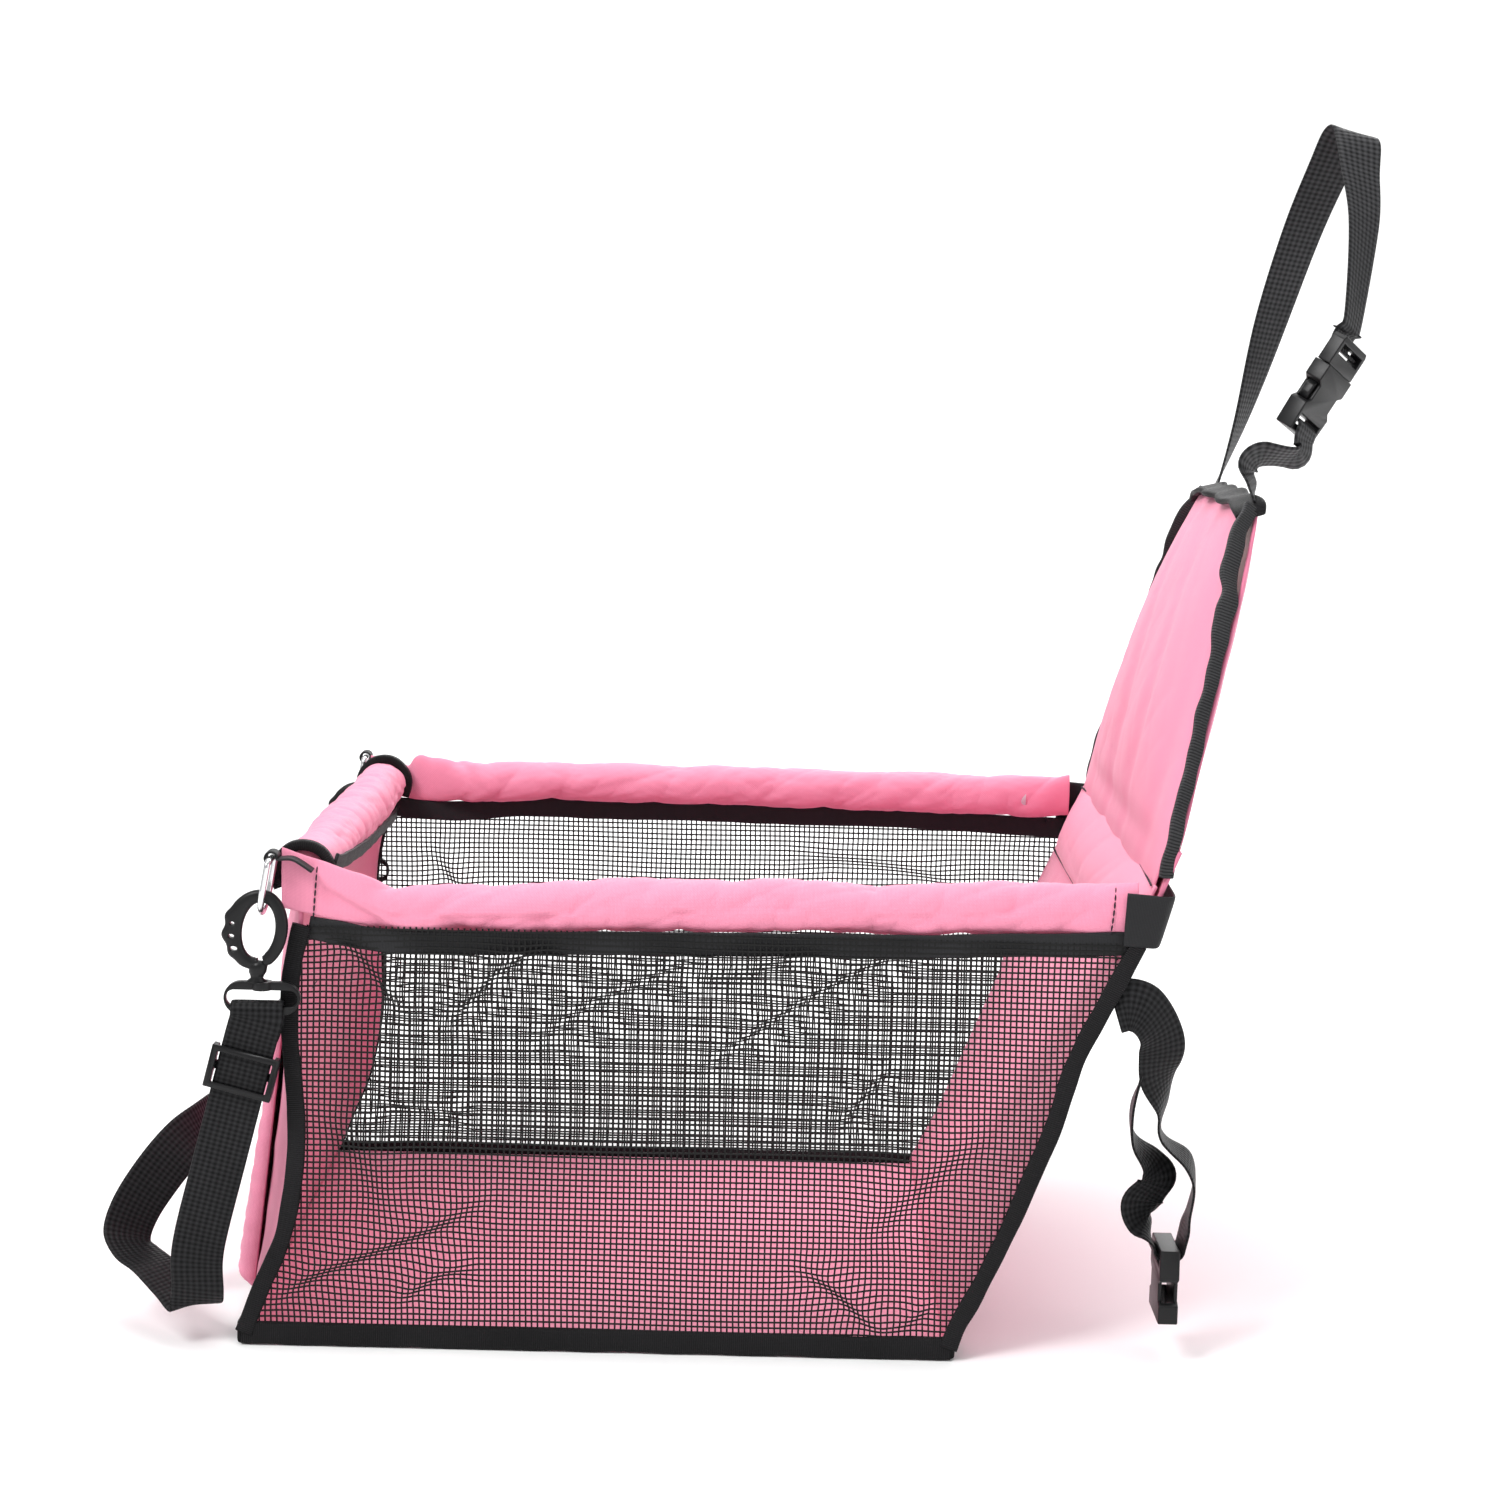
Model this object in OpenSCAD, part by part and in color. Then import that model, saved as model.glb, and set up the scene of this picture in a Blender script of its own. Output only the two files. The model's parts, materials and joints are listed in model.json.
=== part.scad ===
// Open-top pet carrier that straps to a car seat.
// X runs from the front wall to the back, Y across, Z up. The origin is the middle of the
// underside of the base. All sizes are in millimetres.

/* [Box] */
// Length of the base, front to back
base_len = 340; // [300:5:420]
// Width of the base
base_w = 320; // [280:5:400]
// Height of the top edge of the mesh sides
wall_h = 207; // [165:1:250]
// Lean of the front wall from upright
front_lean = 6; // [0:0.5:8]
// Lean of the back wall from upright
back_lean = 22; // [14:0.5:24]

/* [Fabric] */
// Thickness of the floor fabric and the floor lining
floor_t = 1.6; // [1:0.1:2.5]
// Thickness of the stiff board in the floor
board_t = 2.4; // [1.5:0.1:4]
// Thickness of the padded front and back walls
panel_t = 3; // [2:0.1:4]
// Thickness of the mesh sides
mesh_t = 1.2; // [0.8:0.1:2]
// Thickness of the folded edge tape
tape_t = 2; // [1.2:0.1:2.5]
// Visible width of the edge tape on the corners
edge_w = 8; // [6:0.5:12]
// Visible height of the tape along the base
base_tape_h = 10; // [7:0.5:14]
// Height of the tape under the side sleeves
rim_tape_h = 11; // [8:0.5:14]

/* [Rim] */
// Outer radius of the tubes in the rim
tube_r = 11; // [8:0.5:13]
// Wall of the tubes
tube_wall = 2; // [1:0.1:3]
// Wall of the fabric sleeves
sleeve_wall = 2.2; // [1.5:0.1:3]
// How far the front rim stands above the side rims
front_rise = 6.5; // [2:0.5:10]

/* [Pocket] */
// Width of the front pocket
pocket_w = 270; // [200:5:276]
// Height of the pocket's top edge above the floor
pocket_top = 150; // [120:1:160]
// Depth of the pocket at its bottom
pocket_d = 9.6; // [7:0.2:12]

/* [Backrest] */
// How far the backrest's fold line stands above the side walls
fold_rise = 43; // [38:1:93]
// Length of the backrest above its fold line
rest_len = 163; // [130:1:200]
// Half the width of the backrest at its fold line
rest_low = 157; // [120:1:158]
// Half the width of the backrest at its top
rest_high = 75; // [76:1:110]
// Lean of the backrest from upright
rest_lean = 15.4; // [5:0.2:20]
// Thickness of each of the backrest's three layers
layer_t = 3; // [2:0.1:4]

/* [Webbing] */
// Width of the webbing
web_w = 25; // [20:1:25]
// Thickness of the webbing
web_t = 1.5; // [1:0.1:1.8]

/* [Hardware] */
// Radius of the D-ring wire
ring_wire = 1.5; // [1:0.1:2]
// Inner radius of the snap hook's ring
hook_in = 10.5; // [9.5:0.1:12]
// Outer radius of the snap hook's ring
hook_out = 14.5; // [13.5:0.1:16]
// Outer width of the side-release buckles
buckle_w = 33; // [33:0.5:36]

/* [Hidden] */
$fn = 48;
gap = 0.3;
snug = 0.2;

half_w = base_w / 2;
mesh_in = half_w - mesh_t;
hem_t = 1.4;
sleeve_in = tube_r + gap;
sleeve_r = sleeve_in + sleeve_wall;
rim_z = wall_h + sleeve_r;
sleeve_y = half_w - sleeve_r;
lining_top = 2 * floor_t + board_t;
front_z = rim_z + front_rise;
front_top = front_z - sleeve_r - gap;

// Outer face of the front and back walls at height z, and faces set in or out from them
function fx(z, d = 0) = -base_len / 2 + z * tan(front_lean) + d / cos(front_lean);
function bx(z, d = 0) = base_len / 2 + z * tan(back_lean) + d / cos(back_lean);

front_x = fx(front_z) + panel_t;
front_end = mesh_in - 5.8;
sleeve_back = bx(wall_h, -panel_t) - gap;
sleeve_front = front_x + sleeve_r + 2.6;
flap_t = 2.4;
flap_out = mesh_in + flap_t;
flap_h = 25;

// The fold line of the backrest lies on the back wall's middle plane
fold_z = wall_h + fold_rise;
fold_x = bx(fold_z, -panel_t / 2);
rest_front_start = layer_t * 1.5 + 1;
rest_start = panel_t / 2 + 1.1;
rest_band = 2.5;
top_band = 3;
pivot_up = rest_len + top_band + web_t / 2 + gap;
strap_x = fold_x + pivot_up * sin(rest_lean);
strap_z = fold_z + pivot_up * cos(rest_lean);

// Shoulder strap hardware hangs outside the mesh at each front corner
hang_y = half_w + 8;
ring_x = fx(wall_h) - 6.8;
ring_top = front_z + 12;
ring_w = 12;
ring_low = 25.8;
hook_x = ring_x - 4.5;
hook_z = ring_top - 35;
hook_t = 5;
hook_mid = 2.5;
eye_z = hook_z - 32;
eye_half = 13;
eye_out = 8;
eye_in = 4;
pin_r = 2.3;
run_z = eye_z - 20;
run_lean = 14;
run_low = 60;
run_len = (run_z - run_low) / cos(run_lean);
bar_z = eye_z - eye_out / 2 - eye_in / 2;
wrap_r = (eye_out - eye_in) / 2 + web_t / 2 + 1.45;

// Side-release buckle
slot_w = web_w + 1.4;
plug_base = 16;

// Waist straps leave the back wall at this height
waist_z = wall_h - 39;
waist_y = half_w - 13;
waist_x = bx(waist_z, 1.2);

pink = "#f49abf";
black = "#202022";

module slab_y(y0, y1) { translate([0, y1, 0]) rotate([90, 0, 0]) linear_extrude(y1 - y0) children(); }
module both_sides() { children(); mirror([0, 1, 0]) children(); }
module block(lo, hi) { translate(lo) cube(hi - lo); }
module rod_x(x0, x1, r) { translate([x0, 0, 0]) rotate([0, 90, 0]) cylinder(h = x1 - x0, r = r); }
module rod_y(y0, y1, r) { translate([0, y1, 0]) rotate([90, 0, 0]) cylinder(h = y1 - y0, r = r); }

// A wall seen from the side, between heights z0 and z1 and from d0 to d1 in from its outer face
module front_profile(z0, z1, d0, d1) {
  polygon([[fx(z0, d0), z0], [fx(z0, d1), z0], [fx(z1, d1), z1], [fx(z1, d0), z1]]);
}
module back_profile(z0, z1, d0, d1) {
  polygon([[bx(z0, d0), z0], [bx(z0, d1), z0], [bx(z1, d1), z1], [bx(z1, d0), z1]]);
}

/* ---- base ---- */
module base_panel() {
  color(pink) slab_y(-half_w, half_w)
    polygon([[fx(0), 0], [bx(0), 0], [bx(floor_t), floor_t], [fx(floor_t), floor_t]]);
}
module base_board() {
  color("#6d5a45") block([-base_len / 2 + 6, -half_w + 5, floor_t],
    [base_len / 2 - 5, half_w - 5, floor_t + board_t]);
}
module base_lining() {
  color(pink) block([-base_len / 2 + 6, -half_w + 5, floor_t + board_t],
    [base_len / 2 - 5, half_w - 5, lining_top]);
}
module base_binding() {
  color(black) {
    both_sides() slab_y(half_w, half_w + tape_t)
      polygon([[fx(0), 0], [bx(0), 0], [bx(base_tape_h), base_tape_h], [fx(base_tape_h), base_tape_h]]);
    slab_y(-half_w - tape_t, half_w + tape_t) front_profile(0, base_tape_h, -tape_t, 0);
    slab_y(-half_w - tape_t, half_w + tape_t) back_profile(0, base_tape_h, 0, tape_t);
  }
}

/* ---- front wall ---- */
module front_panel() { color(pink) slab_y(-mesh_in, mesh_in) front_profile(floor_t, front_top, 0, panel_t); }
module front_inner_band() {
  color(black) slab_y(-front_end, front_end) front_profile(front_top - 10, front_top, panel_t, panel_t + 1.5);
}
pocket_wall = 1.6;
pocket_low = 20;
module front_pocket() {
  half = pocket_w / 2;
  color(pink) difference() {
    slab_y(-half, half) front_profile(pocket_low, pocket_top, -pocket_d, 0);
    slab_y(-half + pocket_wall, half - pocket_wall)
      front_profile(pocket_low + pocket_wall, pocket_top + 1, -pocket_d + pocket_wall, 1);
  }
}
zip_mid = -pocket_d / 2;
tape_thin = 1.2;
teeth_h = 1.5;
module pocket_zip_tape() {
  color(black) slab_y(-pocket_w / 2, pocket_w / 2)
    front_profile(pocket_top, pocket_top + tape_thin, -pocket_d, 0);
}
module pocket_zip_teeth() {
  z = pocket_top + tape_thin;
  color("#3a3a3e") slab_y(-pocket_w / 2 + 2, pocket_w / 2 - 2)
    front_profile(z, z + teeth_h, zip_mid - 1.5, zip_mid + 1.5);
}
slider_y = -pocket_w / 2 + 8;
slider_l = 9;
slider_h = 3.6;
module zip_slider() {
  z = pocket_top + tape_thin + gap;
  color("#2a2a2d") difference() {
    slab_y(slider_y - slider_l / 2, slider_y + slider_l / 2)
      front_profile(z, z + slider_h, zip_mid - 3.4, zip_mid + 3.4);
    slab_y(slider_y - slider_l, slider_y + slider_l)
      front_profile(z - 1, z + teeth_h + gap / 2, zip_mid - 1.9, zip_mid + 1.9);
  }
  // ear that the pull turns on
  zt = z + slider_h + 1.6;
  color("#2a2a2d") difference() {
    union() {
      translate([fx(zt, zip_mid), slider_y, zt]) rod_x(-0.8, 0.8, 1.6);
      block([fx(zt, zip_mid) - 0.8, slider_y - 1.6, z + slider_h - 0.4],
        [fx(zt, zip_mid) + 0.8, slider_y + 1.6, zt]);
    }
    translate([fx(zt, zip_mid), slider_y, zt]) rod_x(-2, 2, 0.8);
  }
}
pull_z = pocket_top + tape_thin + gap + slider_h + 1.6;
pull_x = fx(pull_z, zip_mid);
module zip_pull() {
  color("#2a2a2d") translate([pull_x, slider_y, pull_z]) {
    rod_x(-2.4, 2.4, 0.6);
    for (s = [-1, 1]) block([s * 2 - 0.6, -0.6, -0.6], [s * 2 + 0.6, 5, 0.6]);
    difference() {
      block([-3.2, 5, -0.6], [3.2, 22, 0.6]);
      translate([0, 18.5, -2]) cylinder(h = 4, r = 1.6);
    }
  }
}

/* ---- mesh sides and their tapes ---- */
module mesh_plate() {
  slab_y(-half_w, -mesh_in) polygon([[fx(floor_t), floor_t], [bx(floor_t), floor_t],
    [bx(wall_h), wall_h], [fx(wall_h), wall_h]]);
}
module side_mesh_near() { color(black) mesh_plate(); }
module side_mesh_far() { color(black) mirror([0, 1, 0]) mesh_plate(); }
edge_top = wall_h - rim_tape_h;
module front_edge_bindings() {
  color(black) both_sides() slab_y(half_w, half_w + tape_t) front_profile(base_tape_h, edge_top, 0, edge_w);
}
module back_edge_bindings() {
  color(black) both_sides() slab_y(half_w, half_w + tape_t) back_profile(base_tape_h, edge_top, -edge_w, 0);
}
module rim_tapes() {
  color(black) both_sides() slab_y(half_w, half_w + tape_t)
    polygon([[fx(edge_top), edge_top], [bx(edge_top), edge_top], [bx(wall_h), wall_h], [fx(wall_h), wall_h]]);
}

/* ---- sleeves and tubes of the rim ---- */
module side_sleeve() {
  hem_back = bx(edge_top, -panel_t) - gap;
  difference() {
    union() {
      translate([0, -sleeve_y, rim_z]) rod_x(sleeve_front, sleeve_back, sleeve_r);
      block([sleeve_front, -mesh_in, edge_top], [hem_back, -mesh_in + hem_t, rim_z - 6]);
      block([fx(wall_h) - 3, -flap_out, wall_h], [sleeve_front + 6, -mesh_in, wall_h + flap_h]);
    }
    translate([0, -sleeve_y, rim_z]) rod_x(sleeve_front - 1, sleeve_back + 1, sleeve_in);
  }
}
module side_tube() {
  translate([0, -sleeve_y, rim_z]) difference() {
    rod_x(sleeve_front + 4, sleeve_back - 4, tube_r);
    rod_x(sleeve_front, sleeve_back, tube_r - tube_wall);
  }
}
module side_sleeve_near() { color(pink) side_sleeve(); }
module side_sleeve_far() { color(pink) mirror([0, 1, 0]) side_sleeve(); }
module side_tube_near() { color("#e8e6e0") side_tube(); }
module side_tube_far() { color("#e8e6e0") mirror([0, 1, 0]) side_tube(); }
sleeve_band = 3;
module front_sleeve() {
  color(pink) translate([front_x, 0, front_z]) difference() {
    rod_y(-front_end + sleeve_band, front_end - sleeve_band, sleeve_r);
    rod_y(-half_w, half_w, sleeve_in);
  }
}
module front_sleeve_bindings() {
  color(black) both_sides() translate([front_x, 0, front_z]) difference() {
    rod_y(front_end - sleeve_band, front_end, sleeve_r + 0.2);
    rod_y(0, half_w, sleeve_in);
  }
}
module front_tube() {
  color("#e8e6e0") translate([front_x, 0, front_z]) difference() {
    rod_y(-front_end + 4, front_end - 4, tube_r);
    rod_y(-half_w, half_w, tube_r - tube_wall);
  }
}

/* ---- back wall ---- */
module back_panel() {
  color(pink) {
    slab_y(-mesh_in, mesh_in) back_profile(floor_t, fold_z, -panel_t, 0);
    translate([fold_x, 0, fold_z]) rod_y(-mesh_in, mesh_in, panel_t / 2);
  }
}
belt_t = 1.6;
belt_low = wall_h - 3;
module rear_belt() {
  out = half_w + tape_t;
  color(black) {
    slab_y(-out - belt_t, out + belt_t) back_profile(belt_low, belt_low + web_w, 0, belt_t);
    both_sides() slab_y(out, out + belt_t) back_profile(belt_low, belt_low + web_w, -12, belt_t);
  }
}

/* ---- backrest, in its own frame at the fold line ---- */
module at_backrest() { translate([fold_x, 0, fold_z]) rotate([0, rest_lean, 0]) children(); }
function rest_half(z) = rest_low + (rest_high - rest_low) * z / rest_len;
module rest_layer(x0, x1, z0) {
  translate([x0, 0, 0]) rotate([90, 0, 90]) linear_extrude(x1 - x0)
    polygon([[-rest_half(z0), z0], [rest_half(z0), z0], [rest_high, rest_len], [-rest_high, rest_len]]);
}
rest_out = layer_t * 1.5;
module backrest_front() { color(pink) at_backrest() rest_layer(-rest_out, -layer_t / 2, rest_front_start); }
module backrest_foam() { color("#f3f0ea") at_backrest() rest_layer(-layer_t / 2, layer_t / 2, rest_start); }
module backrest_back() { color(pink) at_backrest() rest_layer(layer_t / 2, rest_out, rest_start - 0.75); }
module backrest_side_bindings() {
  z0 = rest_front_start;
  color(black) at_backrest() both_sides()
    translate([-rest_out - 1, 0, 0]) rotate([90, 0, 90]) linear_extrude(2 * rest_out + 2)
      polygon([[rest_half(z0), z0], [rest_half(z0) + rest_band, z0],
        [rest_high + rest_band, rest_len], [rest_high, rest_len]]);
}
module backrest_top_binding() {
  color(black) at_backrest() block([-rest_out - 1, -rest_high - rest_band, rest_len],
    [rest_out + 1, rest_high + rest_band, rest_len + top_band]);
}

/* ---- webbing: a flat band swept along hand-placed points, smoothed by a spline ---- */
function unit(v) = v / norm(v);
function spline(a, b, c, d, t) = 0.5 * (2 * b + (c - a) * t + (2 * a - 5 * b + 4 * c - d) * t * t
  + (3 * b - a - 3 * c + d) * t * t * t);
function at(p, i) = p[max(0, min(len(p) - 1, i))];
function smooth(p, n) = [for (i = [0 : len(p) - 2], k = [0 : n - 1])
  spline(at(p, i - 1), p[i], p[i + 1], at(p, i + 2), k / n), p[len(p) - 1]];
module ribbon(points, across, n = 3, w = web_w, t = web_t) {
  p = smooth(points, n);
  a = smooth(across, n);
  last = len(p) - 1;
  rings = [for (i = [0 : last])
    let (dir = unit(at(p, i + 1) - at(p, i - 1)), side = unit(a[i] - (a[i] * dir) * dir),
      face = cross(dir, side), u = side * w / 2, v = face * t / 2)
    each [p[i] + u + v, p[i] + u - v, p[i] - u - v, p[i] - u + v]];
  polyhedron(rings, concat([[0, 1, 2, 3]], [[4 * last + 3, 4 * last + 2, 4 * last + 1, 4 * last]],
    [for (i = [0 : last - 1], k = [0 : 3]) let (q = 4 * i, m = (k + 1) % 4) each k < 3
      ? [[q + k, q + 4 + k, q + m], [q + m, q + 4 + k, q + 4 + m]]
      : [[q + k, q + 4 + k, q + 4 + m], [q + k, q + 4 + m, q + m]]]));
}

// A point in a buckle's own frame, turned about its length and then leaned
function place(v, turn, lean) =
  let (x = v.x * cos(turn) - v.y * sin(turn), y = v.x * sin(turn) + v.y * cos(turn))
  [x * cos(lean) + v.z * sin(lean), y, v.z * cos(lean) - x * sin(lean)];
// Where webbing passes over the end bar of a plug or a socket and into its slot
plug_pass = [[6.5, 26], [6, 19], [5.5, 14], [3.6, 10.2], [-1.6, 9.75]];
socket_pass = [[8, -48], [7.4, -41], [6.8, -35], [4.6, -30.4], [-1.8, -29.75]];
function pass_points(pass, at, turn, lean, side = 1) =
  [for (q = pass) at + place([0, side * q[0], q[1]], turn, lean)];

// Headrest strap: offsets from the middle of its sewn end at the top of the backrest
long_y = rest_high - 15;
short_y = -rest_high + 13;
long_path = [[0, 0, 0], [12, -2, 38], [25, -8, 92], [37, -20, 138], [47, -36, 170], [52, -47, 183],
  [55, -57, 182], [55, -68, 166], [55, -84, 138]];
long_across = [[0, 1, 0], [0, 1, 0], [0.25, 0.97, 0], [0.7, 0.7, 0], [1, 0.2, 0], [1, 0, -0.25],
  [1, 0, -0.25], [1, -0.1, -0.1], [0.95, -0.3, 0]];
buckle_at = [38.7, 11, 64.6];
buckle_turn = 55 - 180;
buckle_lean = 31;
module headrest_strap() {
  start = [strap_x, long_y, strap_z];
  end = pass_points(plug_pass, [strap_x, short_y, strap_z] + buckle_at, buckle_turn, buckle_lean, -1);
  color(black) ribbon(concat([for (q = long_path) start + q], end),
    concat(long_across, [for (q = end) -place([1, 0, 0], buckle_turn, buckle_lean)]), 4);
}

module at_headrest_buckle() {
  translate([strap_x, short_y, strap_z] + buckle_at) rotate([0, buckle_lean, 0]) rotate([0, 0, buckle_turn])
    children();
}
short_path = [[0, 0, 0], [-0.5, 0, 8], [-4, 2, 17]];
short_across = [[0, 1, 0], [0, 1, 0], [0.4, 0.9, 0]];
short_pass = [[10, -52], [8, -44], [6.8, -36], [4.6, -30.4], [-1.8, -29.75]];
module headrest_short_strap() {
  start = [strap_x, short_y, strap_z];
  end = pass_points(short_pass, start + buckle_at, buckle_turn, buckle_lean, 1);
  color(black) ribbon(concat([for (q = short_path) start + q], end),
    concat(short_across, [for (q = end) -place([1, 0, 0], buckle_turn, buckle_lean)]), 4);
}

/* ---- side-release buckle, along Z with its mouth at zero ---- */
module buckle_socket() {
  h = buckle_w / 2;
  difference() {
    slab_y(-4.75, 4.75) polygon([[-h, 0], [h, 0], [h, -9], [h - 4, -11], [h - 4, -19], [h, -21.5],
      [h - 1, -36], [1 - h, -36], [-h, -21.5], [4 - h, -19], [4 - h, -11], [-h, -9]]);
    block([-h + 2.6, -2.9, -22], [h - 2.6, 2.9, 1]);
    block([-slot_w / 2, -6, -32.5], [slot_w / 2, 6, -27]);
  }
}
module buckle_plug() {
  h = buckle_w / 2;
  difference() {
    slab_y(-3.6, 3.6) polygon([[-h, gap], [h, gap], [h, plug_base - 2], [h - 1.5, plug_base],
      [1.5 - h, plug_base], [-h, plug_base - 2]]);
    block([-slot_w / 2, -6, 7], [slot_w / 2, 6, 12.5]);
  }
  block([-3, -1.6, -17], [3, 1.6, gap + 1]);
}
module buckle_arm(s) {
  slab_y(-2.4, 2.4) polygon([[s * 8, 0], [s * 11, 0], [s * 12.2, -8.5], [s * 15, -12.5], [s * 15, -17],
    [s * 12.4, -20.5], [s * 10, -20.5], [s * 9.6, -9]]);
}
module headrest_buckle_socket() { color(black) at_headrest_buckle() buckle_socket(); }
module headrest_buckle_plug() { color(black) at_headrest_buckle() buckle_plug(); }
module headrest_buckle_arm_left() { color(black) at_headrest_buckle() buckle_arm(-1); }
module headrest_buckle_arm_right() { color(black) at_headrest_buckle() buckle_arm(1); }

/* ---- shoulder strap hardware at each front corner ---- */
module d_ring() {
  top = ring_top;
  low = ring_top - ring_low + ring_w;
  translate([ring_x, -hang_y, 0]) {
    translate([0, 0, top]) rod_y(-ring_w, ring_w, ring_wire);
    for (s = [-1, 1]) {
      translate([0, s * ring_w, top]) sphere(r = ring_wire);
      translate([0, s * ring_w, low]) cylinder(h = top - low, r = ring_wire);
    }
    translate([0, 0, low]) rotate([0, 90, 0]) rotate([0, 0, -90])
      rotate_extrude(angle = 180) translate([ring_w, 0]) circle(r = ring_wire);
  }
}
module d_rings() { color("#d8dadd") both_sides() d_ring(); }
module d_ring_tabs() {
  y1 = -flap_out;
  color(black) both_sides() difference() {
    union() {
      translate([ring_x, 0, ring_top]) rod_y(-hang_y - ring_w + 3, y1, ring_wire + gap + web_t);
      block([ring_x, y1 - tape_t, ring_top - 9], [ring_x + 20, y1, ring_top + ring_wire + gap + web_t]);
    }
    translate([ring_x, 0, ring_top]) rod_y(-hang_y - 30, y1 + 1, ring_wire + gap);
    // room for the ring's inner leg as it swings
    translate([ring_x, -hang_y + ring_w, ring_top]) rod_y(-ring_wire - gap, ring_wire + 0.5, ring_low);
  }
}
module hook_ring_outline(r) {
  for (s = [-1, 1]) translate([0, s * hook_mid]) circle(r = r);
  square([2 * r, 2 * hook_mid], center = true);
}
gate_low = -7;
gate_high = 8;
module snap_hook() {
  translate([hook_x, -hang_y, hook_z]) {
    difference() {
      slab_y(-hook_t / 2, hook_t / 2) difference() {
        union() { hook_ring_outline(hook_out); translate([-hook_out + 1, -1]) circle(r = 5); }
        hook_ring_outline(hook_in);
      }
      block([2, -hook_t, gate_low - 1.5], [hook_out + 2, hook_t, gate_high + gap]);
      for (k = [-1, 0, 1]) translate([-hook_out + 0.6 + abs(k), 0, -1 + k * 4.6]) rod_y(-5, 5, 1.2);
    }
    // stem, swivel pin and its head
    difference() {
      translate([0, 0, -24]) cylinder(h = 8, r = 4.2);
      slab_y(-6, 6) hook_ring_outline(hook_in + 1);
    }
    translate([0, 0, eye_z + eye_out - 5.1 - hook_z]) cylinder(h = 10, r = pin_r - 0.3);
    translate([0, 0, eye_z + eye_in - gap - 2.2 - hook_z]) cylinder(h = 2.2, r = 3.4);
  }
}
module hook_gate() {
  x = (hook_in + hook_out) / 2 - 0.4;
  translate([hook_x, -hang_y, hook_z]) {
    translate([x, 0, gate_low]) cylinder(h = gate_high - gate_low, r = 1.2);
    translate([x, 0, gate_low]) rod_y(-2.2, 2.2, 1.2);
  }
}
module swivel_eye() {
  translate([hook_x, -hang_y, eye_z]) difference() {
    union() {
      slab_y(-hook_t / 2 + 0.5, hook_t / 2 - 0.5) difference() {
        union() {
          for (s = [-1, 1]) translate([s * (eye_half - 3), 0]) circle(r = eye_out);
          square([2 * (eye_half - 3), 2 * eye_out], center = true);
        }
        for (s = [-1, 1]) translate([s * eye_half, 0]) circle(r = eye_in);
        square([2 * eye_half, 2 * eye_in], center = true);
      }
      translate([0, 0, eye_in]) cylinder(h = eye_out - eye_in, r = 5);
    }
    translate([0, 0, 0]) cylinder(h = 12, r = pin_r);
  }
}
module swivel_eyes() { color(black) both_sides() swivel_eye(); }
module hook_near() { color(black) snap_hook(); }
module hook_far() { color(black) mirror([0, 1, 0]) snap_hook(); }
module hook_gate_near() { color("#d8dadd") hook_gate(); }
module hook_gate_far() { color("#d8dadd") mirror([0, 1, 0]) hook_gate(); }

// Shoulder strap: from the sewn end behind the near eye, down, across in front and up to the far eye
run_x = hook_x - 5;
wrap_x = hook_x - 2;
run_y = -hang_y - wrap_r;
function on_run(l) = [run_x - l * sin(run_lean), run_y, run_z - l * cos(run_lean)];
wrap_path = concat([[run_x, -hang_y + wrap_r, run_z + 2], [wrap_x - 0.3, -hang_y + wrap_r, bar_z - 4]],
  [for (a = [0 : 30 : 180]) [wrap_x, -hang_y + wrap_r * cos(a), bar_z + wrap_r * sin(a)]],
  [[wrap_x - 0.3, run_y, bar_z - 4]]);
near_run = concat(wrap_path, [on_run(0), on_run(30), on_run(60), on_run(run_len)]);
far_run = [for (i = [len(near_run) - 1 : -1 : 0]) [near_run[i].x, -near_run[i].y, near_run[i].z]];
// The crossing: offsets from the low end of the near run, with y as if the runs hung at 168
cross_shape = [[-2.5, -172, -16], [-2.5, -170, -31], [-5.5, -163, -40], [-15.5, -154, -36],
  [-28.5, -144, -28], [-39.5, -132, -25], [-46.5, -121, -20], [-43.5, -113, -8], [-33.5, -106, 8],
  [-23.5, -96, 20], [-16.5, -76, 24], [-12.5, -40, 24], [-10.5, 20, 22], [-10.5, 80, 16],
  [-8.5, 120, 6], [-5.5, 150, -10], [-2.5, 168, -12]];
cross_path = [for (q = cross_shape)
  [on_run(run_len).x + q.x, q.y * hang_y / 168, on_run(run_len).z + q.z]];
cross_across = [[1, 0, -0.1], [1, 0, 0], [1, 0.25, 0.1], [0.8, 0.65, 0], [0.7, 0.75, 0],
  [0.55, 0.85, 0], [0.6, 0.7, -0.3], [0.7, 0.4, -0.5], [0.75, 0.1, -0.6], [0.65, -0.1, -0.75],
  [0.4, 0, -1], [0.15, 0, -1], [0, 0, -1], [-0.2, 0, -1], [-0.55, 0, -0.9], [-0.9, 0, -0.5],
  [-1, 0, -0.1]];
module shoulder_strap() {
  n = len(near_run);
  color(black) ribbon(concat(near_run, cross_path, far_run),
    concat([for (i = [1 : n]) [1, 0, 0]], cross_across, [for (i = [1 : n]) [-1, 0, 0]]), 2);
}

adjuster_at = 5;
adjuster_h = 21;
module strap_adjuster() {
  w = web_w / 2 + 0.8;
  color(black) translate([run_x, run_y, run_z]) rotate([0, run_lean, 0]) translate([0, 0, -adjuster_at]) {
    for (s = [-1, 1]) block([min(s * w, s * (w + 3)), -3.2, -adjuster_h], [max(s * w, s * (w + 3)), 3.2, 0]);
    for (z = [-3, -adjuster_h]) block([-w - 3, -3.2, z], [w + 3, -web_t / 2 - gap - 0.1, z + 3]);
    block([-w - 3, web_t / 2 + gap + 0.1, -adjuster_h / 2 - 2], [w + 3, 3.2, -adjuster_h / 2 + 2]);
  }
}

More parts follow.
